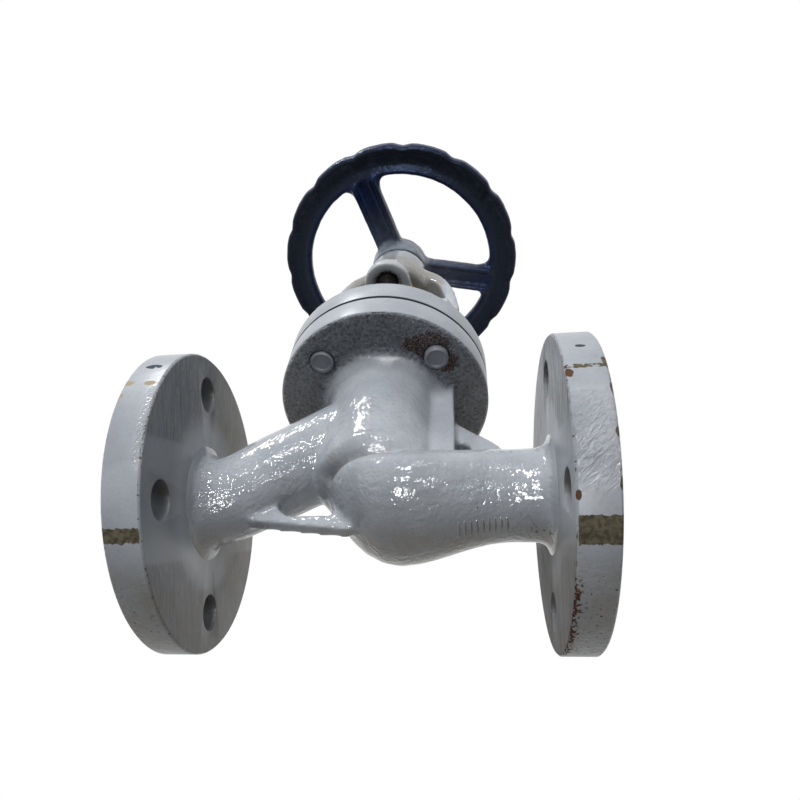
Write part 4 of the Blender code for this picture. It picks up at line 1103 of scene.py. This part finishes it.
stem = remeshed("stem", "stem_screw", STEM_VOXEL)
relax(stem, 1)
threaded(stem, (0, 0), STEM_THREAD, STEM_THREAD_SPAN)
threaded(stem, (0, 0), SCREW_THREAD, STEM_END_SPAN)
finished(stem, "spindle", STEEL, "stem", slot="steel")
for number, side in ((1, -1), (2, 1)):
    bolt = remeshed(f"eye_bolt_{number}", f"eye_bolt_screw_{number}", BOLT_VOXEL)
    relax(bolt, 1)
    threaded(bolt, (0, side * GLAND_LUG_Y), SCREW_THREAD, EYE_BOLT_SPAN)
    finished(bolt, "valve_body", DARK_STEEL_AND_SHADE, f"eye_bolt_{number}", slot="steel")


# Carried-over CAD nodes

PACKING = tuple(f"packing_ring_{number}" for number in range(1, 5))
WORN = ((BRONZE, ("backseat_bushing", "stem_nut")),
        (GRAPHITE, (*PACKING, "body_gasket")),
        (DARK_STEEL_AND_SHADE, ("eye_pin_1", "eye_pin_2", "stem_nut_screw")),
        (STEEL, ("seat_ring", "disc", "disc_nut", "packing_washer", "wheel_washer", "gland")))
for material, names in WORN:
    for name in names:
        obj = NODES[name]
        obj.data.materials.clear()
        obj.data.materials.append(material)
        bevel = obj.modifiers.new("bevel", "BEVEL")
        bevel.width = 0.0003
        bevel.segments = 2
        bevel.angle_limit = math.radians(35)


# Stage, light and camera


def floor():
    """Pale floor under the flanges, open from below as the photograph looks up through it."""
    low = cad_low.z - 0.0002
    verts = [(FLOOR_RADIUS * math.cos(a), FLOOR_RADIUS * math.sin(a), low) for a in turns(96)]
    obj = new_object("floor", verts, [tuple(range(96))])
    material = bpy.data.materials.new("floor")
    material.use_nodes = True
    tree = material.node_tree
    tree.nodes.clear()
    output = new_node(tree, "ShaderNodeOutputMaterial")
    pale = new_node(tree, "ShaderNodeBsdfDiffuse", [("Color", FLOOR_COLOUR)])
    glow = new_node(tree, "ShaderNodeEmission", [("Strength", FLOOR_GLOW)])
    both = new_node(tree, "ShaderNodeAddShader")
    clear = new_node(tree, "ShaderNodeBsdfTransparent")
    blend = new_node(tree, "ShaderNodeMixShader")
    side = new_node(tree, "ShaderNodeNewGeometry")
    place = new_node(tree, "ShaderNodeTexCoord")
    length = new_node(tree, "ShaderNodeVectorMath", operation="LENGTH")
    limits = zip(("From Min", "From Max"), FLOOR_FADE)
    fade = new_node(tree, "ShaderNodeMapRange", limits, interpolation_type="SMOOTHSTEP")
    hidden = new_node(tree, "ShaderNodeMath", operation="MAXIMUM")
    join = tree.links.new
    join(place.outputs["Object"], length.inputs[0])
    join(length.outputs["Value"], fade.inputs["Value"])
    join(fade.outputs["Result"], hidden.inputs[0])
    join(side.outputs["Backfacing"], hidden.inputs[1])
    join(pale.outputs[0], both.inputs[0])
    join(glow.outputs[0], both.inputs[1])
    join(hidden.outputs[0], blend.inputs[0])
    join(both.outputs[0], blend.inputs[1])
    join(clear.outputs[0], blend.inputs[2])
    join(blend.outputs[0], output.inputs[0])
    obj.data.materials.append(material)
    obj.visible_diffuse = False
    obj.visible_glossy = False
    obj.visible_transmission = False
    obj.visible_shadow = False


def sky():
    """White behind the object, and a plain studio level from above and in front."""
    world = bpy.data.worlds.new("studio")
    bpy.context.scene.world = world
    world.use_nodes = True
    tree = world.node_tree
    tree.nodes.clear()
    output = new_node(tree, "ShaderNodeOutputWorld")
    white = new_node(tree, "ShaderNodeBackground", [("Color", (1, 1, 1, 1))])
    dim = new_node(tree, "ShaderNodeBackground")
    path = new_node(tree, "ShaderNodeLightPath")
    seen = new_node(tree, "ShaderNodeMath", operation="MAXIMUM")
    also = new_node(tree, "ShaderNodeMath", operation="MAXIMUM")
    place = new_node(tree, "ShaderNodeTexCoord")
    along = new_node(tree, "ShaderNodeVectorMath", operation="DOT_PRODUCT")
    along.inputs[1].default_value = LIGHT_FROM
    limits = zip(("From Min", "From Max", "To Min", "To Max"), (-0.8, 1.0, *SKY_LIGHT))
    slope = new_node(tree, "ShaderNodeMapRange", limits)
    blend = new_node(tree, "ShaderNodeMixShader")
    join = tree.links.new
    join(path.outputs["Is Camera Ray"], seen.inputs[0])
    join(path.outputs["Is Transmission Ray"], seen.inputs[1])
    join(seen.outputs[0], also.inputs[0])
    join(path.outputs["Is Glossy Ray"], also.inputs[1])
    join(place.outputs["Generated"], along.inputs[0])
    join(along.outputs["Value"], slope.inputs["Value"])
    join(slope.outputs["Result"], dim.inputs["Strength"])
    join(also.outputs[0], blend.inputs[0])
    join(dim.outputs[0], blend.inputs[1])
    join(white.outputs[0], blend.inputs[2])
    join(blend.outputs[0], output.inputs[0])


def lamp(name, direction, distance, size, power, glint):
    """Soft square lamp that looks at the middle of the valve."""
    data = bpy.data.lights.new(name, "AREA")
    data.size = size
    data.energy = power
    obj = bpy.data.objects.new(name, data)
    bpy.context.scene.collection.objects.link(obj)
    obj.visible_glossy = glint
    way = Vector(direction).normalized()
    obj.location = Vector((0, 0, LAMP_TARGET_Z)) + way * distance
    obj.rotation_mode = "QUATERNION"
    obj.rotation_quaternion = way.to_track_quat("Z", "Y")
    return obj


def photo_camera():
    """Camera of the photograph: it looks up at the valve from below and in front."""
    data = bpy.data.cameras.new("camera")
    obj = bpy.data.objects.new("camera", data)
    bpy.context.scene.collection.objects.link(obj)
    az, el, roll = CAMERA_AZIMUTH, CAMERA_ELEVATION, CAMERA_ROLL
    ahead = Vector((math.sin(az) * math.cos(el), math.cos(az) * math.cos(el), math.sin(el)))
    right = ahead.cross(Vector((0, 0, 1))).normalized()
    up = right.cross(ahead)
    right, up = math.cos(roll) * right + math.sin(roll) * up, math.cos(roll) * up - math.sin(roll) * right
    turn = Matrix((right, up, -ahead)).transposed()
    obj.matrix_world = Matrix.Translation(CAMERA_PLACE) @ turn.to_4x4()
    data.sensor_width = 36
    data.lens = CAMERA_LENS
    data.shift_x, data.shift_y = CAMERA_SHIFT
    data.clip_start = 0.01
    bpy.context.scene.camera = obj


floor()
sky()
for settings in LAMPS:
    lamp(*settings)
for name, way, size, power in GLINTS:
    lamp(name, way, GLINT_DISTANCE, size, power, True).visible_diffuse = False
photo_camera()
bpy.context.scene.view_settings.view_transform = "Standard"
